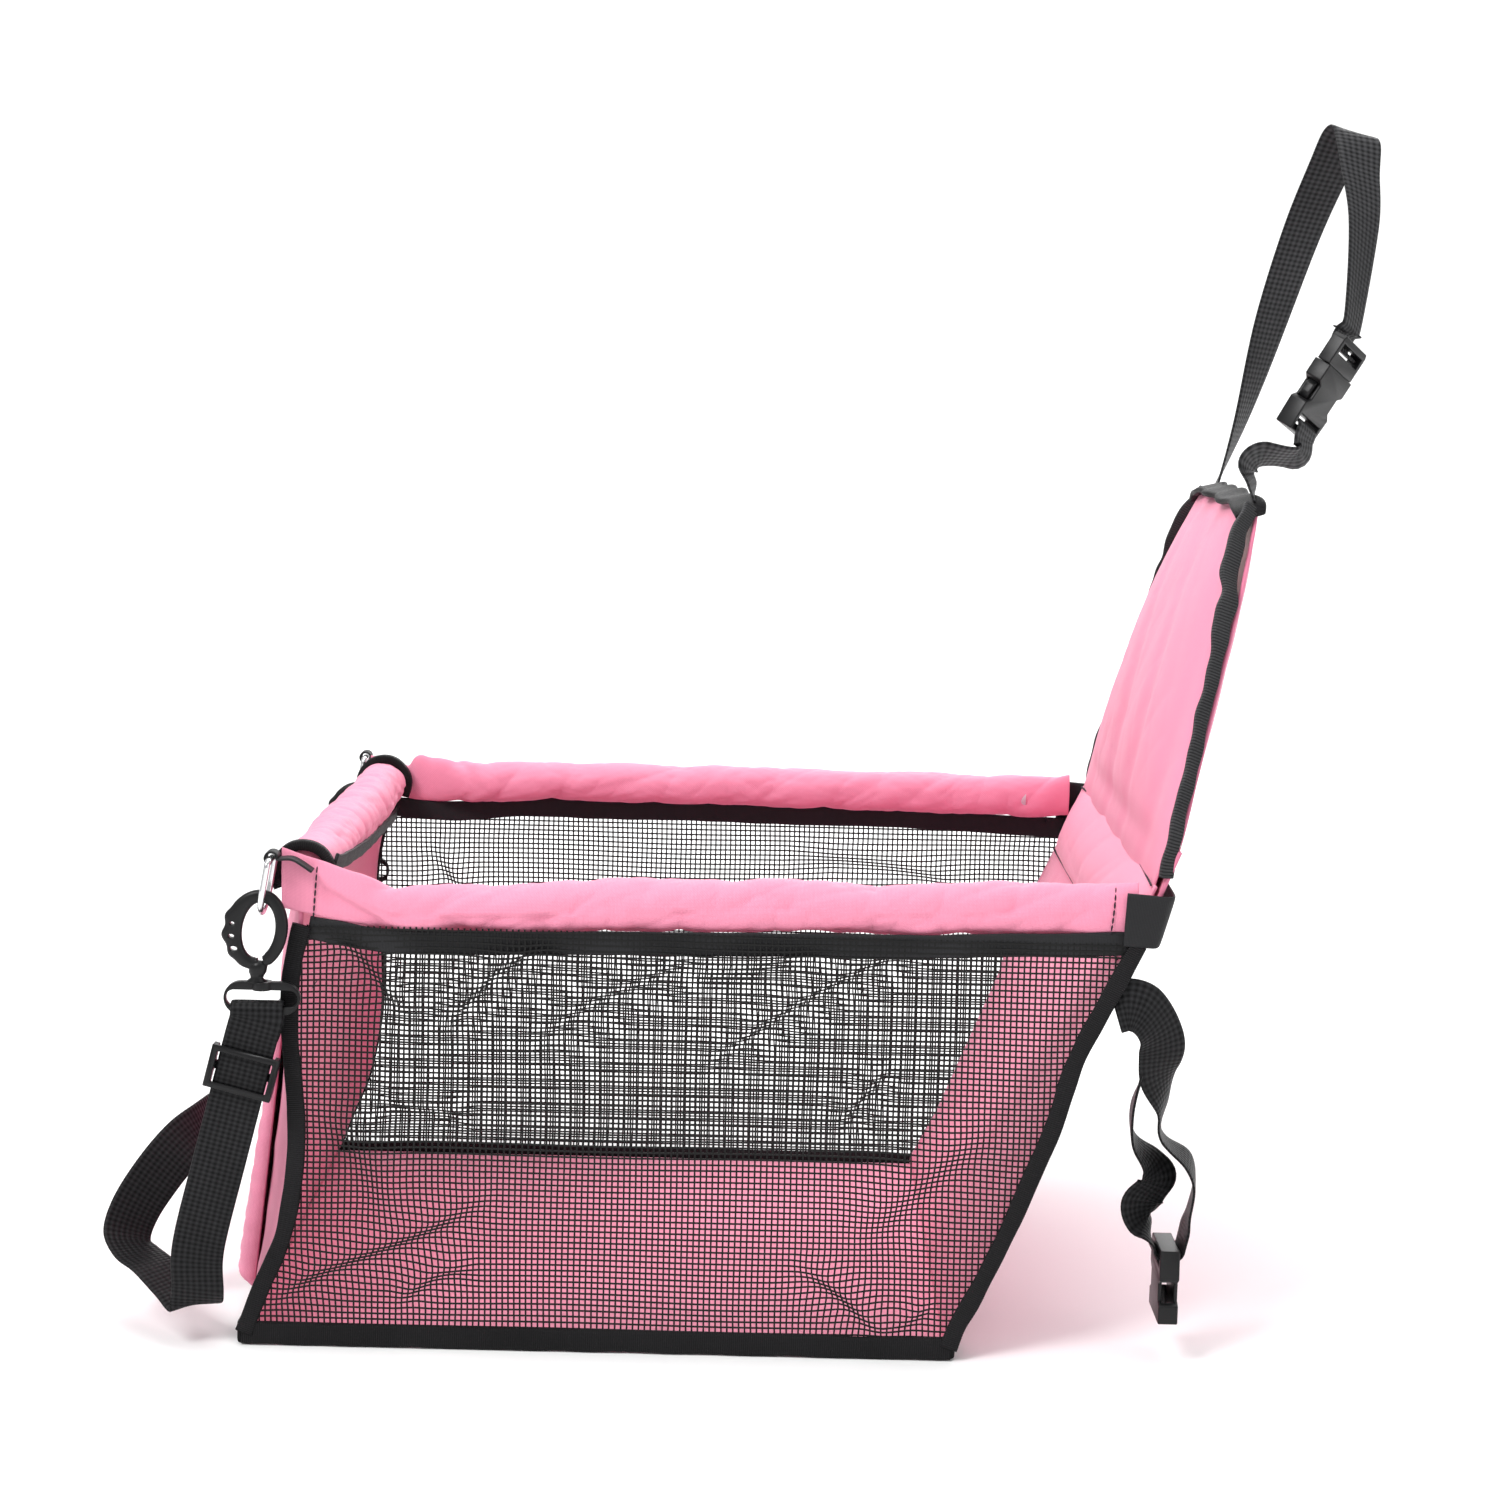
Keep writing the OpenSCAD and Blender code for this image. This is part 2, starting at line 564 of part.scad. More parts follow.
/* ---- waist straps: offsets from where each leaves the back wall ---- */
socket_at = [35, 0, -147];
socket_loop = [[9, 44], [7.6, 37], [6.4, 32.6], [3, 30], [-3, 30], [-6.4, 32.6], [-7.6, 37], [-9, 42]];
waist_out = [[0, 0, 0], [12, 0, 5], [24, 0, 3], [33, 0, -8], [34, 0, -24], [32, 0, -41], [29.5, 0, -53],
  [34, 0, -63], [45, 0, -73], [47, 0, -86], [45, 0, -98]];
waist_back = [[20, 0, -98], [25, 0, -88], [34, 0, -81], [27, 0, -71], [18, 0, -60], [17, 0, -44], [22, 0, -27]];
waist_path = concat(waist_out, [for (q = socket_loop) socket_at + [q[0], 0, q[1]]], waist_back);
waist_across = [for (q = waist_path) [0, 1, 0]];
module at_waist_socket() {
  translate([waist_x, -waist_y, waist_z] + socket_at) rotate([180, 0, 90]) children();
}
module waist_strap_near() {
  color(black) translate([waist_x, -waist_y, waist_z]) ribbon(waist_path, waist_across, 3);
}
module waist_buckle_socket() { color(black) at_waist_socket() buckle_socket(); }

plug_at = [-7, 0, -66];
plug_turn = 90;
far_out = [[0, 0, 0], [8, 0, 2], [14, 0, -5], [15, 0, -17]];
far_end = [[-8, 34], [-6.6, 26], [-6, 19], [-5.5, 14], [-3.6, 10.2], [1.6, 9.75]];
far_path = concat(far_out, [for (q = far_end) plug_at + place([0, q[0], q[1]], plug_turn, back_lean)]);
far_across = [for (q = far_path) [0, 1, 0]];
module at_waist_plug() {
  translate([waist_x, waist_y, waist_z] + plug_at) rotate([0, back_lean, 0]) rotate([0, 0, plug_turn]) children();
}
module waist_strap_far() {
  color(black) translate([waist_x, waist_y, waist_z]) ribbon(far_path, far_across, 4);
}
module waist_buckle_plug() { color(black) at_waist_plug() buckle_plug(); }
module waist_buckle_arm_left() { color(black) at_waist_plug() buckle_arm(-1); }
module waist_buckle_arm_right() { color(black) at_waist_plug() buckle_arm(1); }

base_panel();
base_board();
base_lining();
base_binding();
front_panel();
front_pocket();
pocket_zip_tape();
pocket_zip_teeth();
zip_slider();
zip_pull();
side_mesh_near();
side_mesh_far();
front_edge_bindings();
back_edge_bindings();
rim_tapes();
side_sleeve_near();
side_sleeve_far();
side_tube_near();
side_tube_far();
front_sleeve();
front_sleeve_bindings();
front_inner_band();
front_tube();
back_panel();
rear_belt();
d_ring_tabs();
backrest_front();
backrest_foam();
backrest_back();
backrest_side_bindings();
backrest_top_binding();
headrest_strap();
headrest_short_strap();
headrest_buckle_socket();
headrest_buckle_plug();
headrest_buckle_arm_left();
headrest_buckle_arm_right();
shoulder_strap();
d_rings();
swivel_eyes();
hook_near();
hook_far();
hook_gate_near();
hook_gate_far();
strap_adjuster();
waist_strap_near();
waist_buckle_socket();
waist_strap_far();
waist_buckle_plug();
waist_buckle_arm_left();
waist_buckle_arm_right();
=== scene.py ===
import json
import math

import bmesh
import bpy
import numpy as np
from mathutils import Matrix, Vector

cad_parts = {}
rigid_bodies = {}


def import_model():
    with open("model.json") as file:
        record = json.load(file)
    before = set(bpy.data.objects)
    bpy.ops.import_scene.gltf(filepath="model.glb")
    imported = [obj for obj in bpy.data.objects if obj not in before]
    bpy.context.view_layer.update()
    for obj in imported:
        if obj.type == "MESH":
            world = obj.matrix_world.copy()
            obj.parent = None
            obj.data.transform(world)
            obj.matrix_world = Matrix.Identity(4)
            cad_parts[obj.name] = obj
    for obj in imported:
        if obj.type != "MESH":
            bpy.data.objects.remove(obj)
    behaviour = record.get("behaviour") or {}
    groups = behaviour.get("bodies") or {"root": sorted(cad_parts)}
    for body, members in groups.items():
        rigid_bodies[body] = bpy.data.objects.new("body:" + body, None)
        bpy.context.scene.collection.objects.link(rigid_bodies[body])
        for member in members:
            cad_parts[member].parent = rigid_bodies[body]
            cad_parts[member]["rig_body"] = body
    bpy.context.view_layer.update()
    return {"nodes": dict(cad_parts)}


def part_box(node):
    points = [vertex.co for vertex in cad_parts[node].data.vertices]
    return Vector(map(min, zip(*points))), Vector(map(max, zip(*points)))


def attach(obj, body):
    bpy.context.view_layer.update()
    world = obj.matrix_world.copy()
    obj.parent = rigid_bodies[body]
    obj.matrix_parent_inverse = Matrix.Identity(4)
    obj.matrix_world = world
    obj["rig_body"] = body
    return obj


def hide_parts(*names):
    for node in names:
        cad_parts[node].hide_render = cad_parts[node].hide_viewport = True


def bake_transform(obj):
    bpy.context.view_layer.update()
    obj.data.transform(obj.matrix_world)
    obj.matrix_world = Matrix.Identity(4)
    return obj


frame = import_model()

scene = bpy.context.scene
nodes = frame["nodes"]

# ---- camera, a little above the seat and square to its side ----
cam_data = bpy.data.cameras.new("camera")
cam_data.sensor_width = 36
cam_data.lens = 70.63
camera = bpy.data.objects.new("camera", cam_data)
yaw, pitch, roll = (math.radians(a) for a in (0.01, 8.03, 1.35))
ahead = Vector((-math.sin(yaw) * math.cos(pitch), math.cos(yaw) * math.cos(pitch), -math.sin(pitch)))
right = Vector((math.cos(yaw), math.sin(yaw), 0))
up = right.cross(ahead)
turned_right = right * math.cos(roll) + up * math.sin(roll)
turned_up = up * math.cos(roll) - right * math.sin(roll)
camera.matrix_world = Matrix.Translation((0.0677, -1.5244, 0.4864)) @ Matrix(
    (turned_right, turned_up, -ahead)).transposed().to_4x4()
scene.collection.objects.link(camera)
scene.camera = camera

# ---- the seat's own sizes in mm, as the frame has them ----
LEAN_F, LEAN_B, LEAN_R = (math.radians(a) for a in (6, 22, 15.4))
HALF_L, HALF_W, WALL_H = 170.0, 160.0, 207.0
FOLD = np.array([269.39, 0, 250.0])
REST_UP = np.array([math.sin(LEAN_R), 0, math.cos(LEAN_R)])
REST_OUT = np.array([math.cos(LEAN_R), 0, -math.sin(LEAN_R)])


def front_at(z, out=0.0):
    """x of the front wall's outer face at height z, moved out by a distance: a line leaning six degrees."""
    return -HALF_L + z * math.tan(LEAN_F) - out / math.cos(LEAN_F)


def back_at(z, out=0.0):
    """x of the back wall's outer face at height z, moved out by a distance: a line leaning twenty-two degrees."""
    return HALF_L + z * math.tan(LEAN_B) + out / math.cos(LEAN_B)


# ---- numbers for shapes ----
def unit(v):
    """Vectors divided by their own lengths."""
    return v / np.maximum(np.linalg.norm(v, axis=-1, keepdims=True), 1e-9)


def smooth(points, steps):
    """Catmull-Rom spline through the points, each span cut into equal parameter steps."""
    p = np.asarray(points, float)
    p = np.vstack([p[:1], p, p[-1:]])
    a, b, c, d = p[:-3, None], p[1:-2, None], p[2:-1, None], p[3:, None]
    t = (np.arange(steps) / steps)[None, :, None]
    s = 0.5 * (2 * b + (c - a) * t + (2 * a - 5 * b + 4 * c - d) * t**2 + (3 * b - a - 3 * c + d) * t**3)
    return np.vstack([s.reshape(-1, p.shape[1]), p[-2:-1]])


def even(points, step):
    """A path walked again in equal steps of its own length."""
    p = np.asarray(points, float)
    run = np.r_[0, np.cumsum(np.linalg.norm(np.diff(p[:, :3], axis=0), axis=1))]
    at = np.linspace(0, run[-1], max(2, int(run[-1] / step) + 1))
    return np.stack([np.interp(at, run, p[:, k]) for k in range(p.shape[1])], 1)


def curve(at, xs, ys):
    """A soft curve through (xs, ys): a cubic Hermite spline with finite-difference slopes."""
    xs, ys, at = np.asarray(xs, float), np.asarray(ys, float), np.asarray(at, float)
    slope = np.gradient(ys, xs)
    i = np.clip(np.searchsorted(xs, at) - 1, 0, len(xs) - 2)
    h = xs[i + 1] - xs[i]
    t = np.clip((at - xs[i]) / h, 0, 1)
    return ((2 * t**3 - 3 * t**2 + 1) * ys[i] + (t**3 - 2 * t**2 + t) * h * slope[i]
            + (3 * t**2 - 2 * t**3) * ys[i + 1] + (t**3 - t**2) * h * slope[i + 1])


def crumple(a, b, seed, size=30.0, long=3.0, lean=0.5, count=7):
    """Height from 0 to about 1 of crumpled cloth at (a, b) mm: a mean of folded sines, 1 - |sin| squared across each
    fold's own direction, each fading along its length, size mm apart and long times longer than wide."""
    rng = np.random.default_rng(seed)
    total = 0
    for _ in range(count):
        way, span = rng.normal(0, lean), size * rng.uniform(0.6, 1.8)
        p, q, bend = rng.uniform(0, 6.28, 3)
        s = (a * math.cos(way) + b * math.sin(way)) / span
        m = (b * math.cos(way) - a * math.sin(way)) / (span * long)
        total = total + (1 - np.abs(np.sin(np.pi * s + p + 0.7 * np.sin(2 * m + bend)))) ** 2 * (
            0.5 + 0.5 * np.sin(math.pi * m + q))
    return total * 2.5 / count


def swell(a, b, seed, size=60.0, count=5):
    """Slow rise and fall from -1 to 1 at (a, b) mm: a mean of plane sine waves about size mm long."""
    rng = np.random.default_rng(seed)
    total = 0
    for _ in range(count):
        way, span, p = rng.uniform(0, 6.28), size * rng.uniform(0.7, 1.6), rng.uniform(0, 6.28)
        total = total + np.sin(2 * math.pi * (a * math.cos(way) + b * math.sin(way)) / span + p)
    return total / count


# ---- meshes ----
def build(name, corners, quads, uv, ngons=(), ngon_uv=(), smooth_faces=True, closed=True):
    """A mesh object from corners in mm, quads, their corner UVs in mm, and a few many-sided caps. A closed shell whose
    signed volume comes out negative has every face turned round."""
    mesh = bpy.data.meshes.new(name)
    quads, uv, corners = np.asarray(quads), np.asarray(uv, float).reshape(-1, 4, 2), np.asarray(corners, float)
    if closed:
        a, b, c, d = (corners[quads[:, k]] - corners.mean(0) for k in range(4))
        if ((a * np.cross(b, c)).sum() + (a * np.cross(c, d)).sum()) < 0:
            quads, uv = quads[:, ::-1], uv[:, ::-1]
            ngons, ngon_uv = [n[::-1] for n in ngons], [np.asarray(u)[::-1] for u in ngon_uv]
    loops = np.concatenate([quads.ravel()] + [np.asarray(n) for n in ngons]).astype(np.int32)
    sizes = np.r_[np.full(len(quads), 4), [len(n) for n in ngons]].astype(np.int32)
    mesh.vertices.add(len(corners))
    mesh.vertices.foreach_set("co", (np.asarray(corners, float) * 0.001).ravel())
    mesh.loops.add(len(loops))
    mesh.loops.foreach_set("vertex_index", loops)
    mesh.polygons.add(len(sizes))
    mesh.polygons.foreach_set("loop_start", np.r_[0, np.cumsum(sizes)[:-1]].astype(np.int32))
    mesh.polygons.foreach_set("use_smooth", np.full(len(sizes), smooth_faces))
    layer = mesh.uv_layers.new(name="cloth")
    flat = np.concatenate([np.asarray(uv, float).reshape(-1, 2)] + [np.asarray(u, float) for u in ngon_uv])
    layer.data.foreach_set("uv", flat.ravel())
    mesh.update(calc_edges=True)
    mesh.validate()
    obj = bpy.data.objects.new(name, mesh)
    scene.collection.objects.link(obj)
    return obj


def grid(*coordinates):
    """Coordinates, stretched over one another, as an array of points."""
    return np.stack(np.broadcast_arrays(*coordinates), -1)


def lengths(P, axis, closed):
    """Mean running length along one axis of a grid of points, with the closing span added when it is closed."""
    step = np.linalg.norm(np.diff(P, axis=axis, append=np.take(P, [0], axis)), axis=-1).mean(1 - axis)
    run = np.r_[0, np.cumsum(step)]
    return run if closed else run[:-1]


def surface(name, P, closed_u=False, closed_v=False, caps=False, uv=None):
    """A grid of points (u, v, 3) as quads facing du x dv. A tube closed in v may have flat caps at its u ends."""
    nu, nv = P.shape[:2]
    i = np.arange(nu if closed_u else nu - 1)[:, None]
    j = np.arange(nv if closed_v else nv - 1)[None, :]
    i2, j2 = (i + 1) % nu, (j + 1) % nv
    quads = np.stack([i * nv + j, i2 * nv + j, i2 * nv + j2, i * nv + j2], -1).reshape(-1, 4)
    U, V = (lengths(P, 0, closed_u), lengths(P, 1, closed_v)) if uv is None else uv
    i, j = np.broadcast_arrays(i, j)
    uvs = np.stack([np.stack([U[i], V[j]], -1), np.stack([U[i + 1], V[j]], -1),
                    np.stack([U[i + 1], V[j + 1]], -1), np.stack([U[i], V[j + 1]], -1)], -2)
    ngons, ngon_uv = [], []
    if caps:
        ring = np.arange(nv)
        ngons = [ring, ((nu - 1) * nv + ring)[::-1]]
        flat = np.stack([np.cos(ring / nv * 6.283), np.sin(ring / nv * 6.283)], 1) * V[-1] / 6.28
        ngon_uv = [flat, flat[::-1]]
    return build(name, P.reshape(-1, 3), quads, uvs, ngons, ngon_uv)


def tube_faces(first, rows, sides):
    """Quads of one or more tubes, each a run of rings with that many corners, numbered on from its first corner."""
    first = np.atleast_1d(first)[:, None, None]
    i, j = np.arange(rows - 1)[None, :, None] * sides, np.arange(sides)[None, None, :]
    k = (j + 1) % sides
    return np.stack([first + i + j, first + i + sides + j, first + i + sides + k, first + i + k], -1).reshape(-1, 4)


def round_wire(p, aside, face, radius, sides):
    """Rings of a round wire about the points p, drawn in the plane of two unit directions."""
    t = np.linspace(0, 2 * math.pi, sides, endpoint=False)
    return p[:, None] + radius * (aside[:, None] * np.cos(t)[None, :, None] + face[:, None] * np.sin(t)[None, :, None])


def thicken(obj, mm, offset=-1.0):
    """Gives a sheet its thickness with a Solidify modifier."""
    m = obj.modifiers.new("thickness", "SOLIDIFY")
    m.thickness, m.offset, m.use_rim = mm * 0.001, offset, True
    return obj


def join(name, parts):
    """Several mesh objects made one, under one name."""
    for o in list(bpy.context.selected_objects):
        o.select_set(False)
    for o in parts:
        o.select_set(True)
    bpy.context.view_layer.objects.active = parts[0]
    bpy.ops.object.join()
    parts[0].name = parts[0].data.name = name
    parts[0].select_set(False)
    return parts[0]


def band(name, points, across, width=25.0, thick=1.5, step=1.2, steps=8, soft=0.5, wave=None, sides=14):
    """Webbing or binding: a flattened superellipse, width by thick, carried along a spline through the points, its
    width turned to the across directions. wave(s) gives width scale, face shift and side shift along length s."""
    line = np.hstack([smooth(points, steps), smooth(across, steps)])
    line = even(line, step)
    p, a = line[:, :3], line[:, 3:]
    go = unit(np.gradient(p, axis=0))
    side = unit(a - (a * go).sum(1, keepdims=True) * go)
    face = np.cross(go, side)
    s = np.r_[0, np.cumsum(np.linalg.norm(np.diff(p, axis=0), axis=1))]
    wide, lift, slide = wave(s) if wave else (np.ones_like(s), 0 * s, 0 * s)
    turn = np.linspace(0, 2 * math.pi, sides, endpoint=False)
    cx = np.sign(np.cos(turn)) * np.abs(np.cos(turn)) ** 0.35 * width / 2
    cy = np.sign(np.sin(turn)) * np.abs(np.sin(turn)) ** soft * thick / 2
    P = (p + face * lift[:, None] + side * slide[:, None])[:, None] + side[:, None] * (
        cx[None, :, None] * wide[:, None, None]) + face[:, None] * cy[None, :, None]
    nv = sides
    i, j = np.arange(len(p) - 1)[:, None], np.arange(nv)[None, :]
    j2 = (j + 1) % nv
    quads = tube_faces(0, len(p), nv)
    ii, jj = np.broadcast_arrays(i, j)
    jk = np.broadcast_to(j2, ii.shape)
    uvs = np.stack([np.stack([s[ii], cx[jj]], -1), np.stack([s[ii + 1], cx[jj]], -1),
                    np.stack([s[ii + 1], cx[jk]], -1), np.stack([s[ii], cx[jk]], -1)], -2)
    ring, last = np.arange(nv), (len(p) - 1) * nv
    flat = np.stack([cy, cx], 1)
    return build(name, P.reshape(-1, 3), quads, uvs, [ring, (last + ring)[::-1]], [flat, flat[::-1]])


def stitches(name, points, length=3.0, gap=0.9, radius=0.4):
    """A sewn line: short thread dashes, each a small bowed spindle, laid end to end along the points."""
    p = even(smooth(points, 6), 0.4)
    run = np.r_[0, np.cumsum(np.linalg.norm(np.diff(p, axis=0), axis=1))]
    count = max(1, int(run[-1] / (length + gap)))
    start = np.arange(count) * (length + gap)
    k = np.linspace(0, 1, 6)
    at = start[:, None] + k[None, :] * length
    q = np.stack([np.interp(at.ravel(), run, p[:, c]) for c in range(3)], 1).reshape(count, 6, 3)
    go = unit(np.gradient(q, axis=1))
    aside = unit(np.cross(go, [0.13, 0.21, 0.97]))
    face = np.cross(go, aside)
    t = np.linspace(0, 2 * math.pi, 5, endpoint=False)
    r = radius * np.array([0.35, 0.9, 1, 1, 0.9, 0.35])
    round_way = aside[:, :, None] * np.cos(t)[:, None] + face[:, :, None] * np.sin(t)[:, None]
    P = q[:, :, None] + r[None, :, None, None] * round_way
    quads = tube_faces(np.arange(count) * 30, 6, 5)
    uv = np.zeros((len(quads), 4, 2))
    ends = [b + e for b in range(0, count * 30, 30) for e in (np.arange(5), 25 + np.arange(5)[::-1])]
    return build(name, P.reshape(-1, 3), quads, uv, ends, [np.zeros((5, 2))] * len(ends))


# ---- finishes ----
def new_group(name, inputs, outputs):
    """An empty node group with named sockets: (name, type, default) in, (name, type) out."""
    tree = bpy.data.node_groups.new(name, "ShaderNodeTree")
    for label, kind, value in inputs:
        socket = tree.interface.new_socket(name=label, in_out="INPUT", socket_type="NodeSocket" + kind)
        if value is not None:
            socket.default_value = value
    for label, kind in outputs:
        tree.interface.new_socket(name=label, in_out="OUTPUT", socket_type="NodeSocket" + kind)
    return tree, tree.nodes.new("NodeGroupInput"), tree.nodes.new("NodeGroupOutput")


def put(tree, socket, value):
    """A socket gets a link from another socket, or a plain value."""
    if isinstance(value, bpy.types.NodeSocket):
        tree.links.new(value, socket)
    else:
        socket.default_value = value


def calc(tree, kind, a, b=0.0, c=0.0):
    """One Math node."""
    n = tree.nodes.new("ShaderNodeMath")
    n.operation = kind
    for k, v in enumerate((a, b, c)):
        put(tree, n.inputs[k], v)
    return n.outputs[0]


def noise(tree, vector, scale, detail=3.0, rough=0.55):
    """One Noise Texture's value."""
    n = tree.nodes.new("ShaderNodeTexNoise")
    put(tree, n.inputs["Vector"], vector)
    n.inputs["Scale"].default_value = scale
    n.inputs["Detail"].default_value = detail
    n.inputs["Roughness"].default_value = rough
    return n.outputs["Fac"]


def blend_colour(tree, share, a, b):
    """One colour Mix node."""
    n = tree.nodes.new("ShaderNodeMix")
    n.data_type = "RGBA"
    put(tree, n.inputs["Factor"], share)
    put(tree, n.inputs["A"], a)
    put(tree, n.inputs["B"], b)
    return n.outputs["Result"]


def weave_group():
    """Plain weave: the product of two sines across the yarns, raised where a yarn lies over its neighbour."""
    tree, i, o = new_group("weave", [("Vector", "Vector", None), ("Pitch", "Float", 1.0), ("Slub", "Float", 0.2)],
                           [("Height", "Float"), ("Yarn", "Float")])
    xyz = tree.nodes.new("ShaderNodeSeparateXYZ")
    put(tree, xyz.inputs[0], i.outputs["Vector"])
    rate = calc(tree, "DIVIDE", math.pi, i.outputs["Pitch"])
    a = calc(tree, "SINE", calc(tree, "MULTIPLY", xyz.outputs[0], rate))
    b = calc(tree, "SINE", calc(tree, "MULTIPLY", xyz.outputs[1], rate))
    ab = calc(tree, "MULTIPLY", a, b)
    slub = calc(tree, "MULTIPLY", noise(tree, i.outputs["Vector"], 0.35, 2), i.outputs["Slub"])
    put(tree, o.inputs["Height"], calc(tree, "ADD", calc(tree, "MULTIPLY_ADD", ab, 0.5, 0.5), slub))
    put(tree, o.inputs["Yarn"], calc(tree, "POWER", calc(tree, "ABSOLUTE", ab), 0.5))
    return tree


def rib_group():
    """Ribbed binding: a rounded sine along the length, crossed by the fine sine of its warp."""
    tree, i, o = new_group("ribs", [("Vector", "Vector", None), ("Pitch", "Float", 1.2)], [("Height", "Float")])
    xyz = tree.nodes.new("ShaderNodeSeparateXYZ")
    put(tree, xyz.inputs[0], i.outputs["Vector"])
    rate = calc(tree, "DIVIDE", math.pi, i.outputs["Pitch"])
    rib = calc(tree, "POWER", calc(tree, "ABSOLUTE",
                                   calc(tree, "SINE", calc(tree, "MULTIPLY", xyz.outputs[0], rate))), 0.6)
    warp = calc(tree, "MULTIPLY_ADD", calc(tree, "SINE", calc(tree, "MULTIPLY", xyz.outputs[1], 9.0)), 0.12, 0.0)
    put(tree, o.inputs["Height"], calc(tree, "ADD", rib, warp))
    return tree


def drift_group():
    """Slow change over a piece: broad noise and fine mottle on its place, from 0 to 1."""
    tree, i, o = new_group("drift", [("Vector", "Vector", None)], [("Broad", "Float"), ("Fine", "Float")])
    put(tree, o.inputs["Broad"], noise(tree, i.outputs["Vector"], 14, 3))
    put(tree, o.inputs["Fine"], noise(tree, i.outputs["Vector"], 900, 2, 0.7))
    return tree


WEAVE, RIBS, DRIFT = weave_group(), rib_group(), drift_group()


class Finish:
    """A material with its Principled BSDF, texture coordinates and shared groups at hand."""

    def __init__(self, name, rough, metal=0.0, sheen=0.0, sheen_rough=0.5, tint=(1, 1, 1), level=0.5):
        self.mat = bpy.data.materials.new(name)
        self.mat.use_nodes = True
        self.tree = self.mat.node_tree
        self.bsdf = self.tree.nodes["Principled BSDF"]
        b = self.bsdf.inputs
        b["Roughness"].default_value, b["Metallic"].default_value = rough, metal
        b["Sheen Weight"].default_value, b["Sheen Roughness"].default_value = sheen, sheen_rough
        b["Sheen Tint"].default_value = (*tint, 1)
        b["Specular IOR Level"].default_value = level
        coords = self.tree.nodes.new("ShaderNodeTexCoord")
        self.place, self.cloth = coords.outputs["Object"], coords.outputs["UV"]

    def group(self, tree, vector, **values):
        """A shared group placed in this material with its own values."""
        n = self.tree.nodes.new("ShaderNodeGroup")
        n.node_tree = tree
        put(self.tree, n.inputs["Vector"], vector)
        for label, value in values.items():
            put(self.tree, n.inputs[label], value)
        return n.outputs

    def turned(self, vector, angle=0.0, scale=(1, 1, 1)):
        """The same coordinates turned and scaled by a Mapping node."""
        n = self.tree.nodes.new("ShaderNodeMapping")
        put(self.tree, n.inputs["Vector"], vector)
        n.inputs["Rotation"].default_value = (0, 0, math.radians(angle))
        n.inputs["Scale"].default_value = scale
        return n.outputs[0]

    def bump(self, height, mm, strength=1.0, under=None):
        """A Bump node of that depth feeding Normal, over another one's normal if given."""
        n = self.tree.nodes.new("ShaderNodeBump")
        n.inputs["Strength"].default_value, n.inputs["Distance"].default_value = strength, mm * 0.001
        put(self.tree, n.inputs["Height"], height)
        if under is not None:
            put(self.tree, n.inputs["Normal"], under)
        put(self.tree, self.bsdf.inputs["Normal"], n.outputs[0])
        return n.outputs[0]

    def colour(self, value):
        put(self.tree, self.bsdf.inputs["Base Color"], value)

    def rough(self, share, low, high):
        """Roughness running from low to high with a 0 to 1 share."""
        put(self.tree, self.bsdf.inputs["Roughness"], calc(self.tree, "MULTIPLY_ADD", share, high - low, low))


def oxford(name, light, painted_gap_shade, pitch=0.62):
    """Coated oxford cloth: plain weave bump, lighter yarn crowns with painted shade in the weave's gaps, slow colour
    change and soft sheen.
    """
    f = Finish(name, 0.62, sheen=0.2, sheen_rough=0.55, tint=(1, 0.8, 0.88), level=0.3)
    w = f.group(WEAVE, f.cloth, Pitch=pitch, Slub=0.35)
    d = f.group(DRIFT, f.place)
    # painted shade: the gaps between yarn crowns are mixed towards the second, darker colour, standing in for shade in
    # the weave
    yarn = blend_colour(f.tree, w["Yarn"], (*painted_gap_shade, 1), (*light, 1))
    shade = tuple(c * 0.9 for c in light)
    f.colour(blend_colour(f.tree, calc(f.tree, "MULTIPLY", d["Broad"], 0.45), yarn, (*shade, 1)))
    f.rough(d["Fine"], 0.5, 0.72)
    soft = f.bump(calc(f.tree, "ADD", d["Broad"], calc(f.tree, "MULTIPLY", d["Fine"], 0.08)), 0.9, 0.5)
    f.bump(w["Height"], 0.09, 0.9, soft)
    return f.mat


def ribbed(name, base, glint, pitch, depth=0.28):
    """Grosgrain binding tape: ribs across its length, their crowns lifted by a painted highlight colour, the grooves
    near black.
    """
    f = Finish(name, 0.55, level=0.12)
    r = f.group(RIBS, f.cloth, Pitch=pitch)
    d = f.group(DRIFT, f.place)
    # painted highlight: the rib crowns are mixed towards the lighter glint colour
    f.colour(blend_colour(f.tree, calc(f.tree, "MULTIPLY", r["Height"],
                                       calc(f.tree, "MULTIPLY_ADD", d["Broad"], 0.8, 0.2)),
                          (*base, 1), (*glint, 1)))
    f.rough(d["Fine"], 0.36, 0.62)
    f.bump(r["Height"], depth)
    return f.mat


def webbing(name, base, glint, pitch):
    """Nylon webbing: a diamond weave from a plain weave turned forty-five degrees, its yarn crowns given a painted
    highlight colour.
    """
    f = Finish(name, 0.42, level=0.08)
    w = f.group(WEAVE, f.turned(f.cloth, 45, (1, 0.8, 1)), Pitch=pitch, Slub=0.3)
    d = f.group(DRIFT, f.place)
    # painted highlight: the yarn crowns are mixed towards the lighter glint colour
    f.colour(blend_colour(f.tree, calc(f.tree, "MULTIPLY", w["Height"],
                                       calc(f.tree, "MULTIPLY_ADD", d["Broad"], 0.8, 0.3)),
                          (*base, 1), (*glint, 1)))
    f.rough(d["Fine"], 0.3, 0.55)
    f.bump(w["Height"], 0.3)
    return f.mat


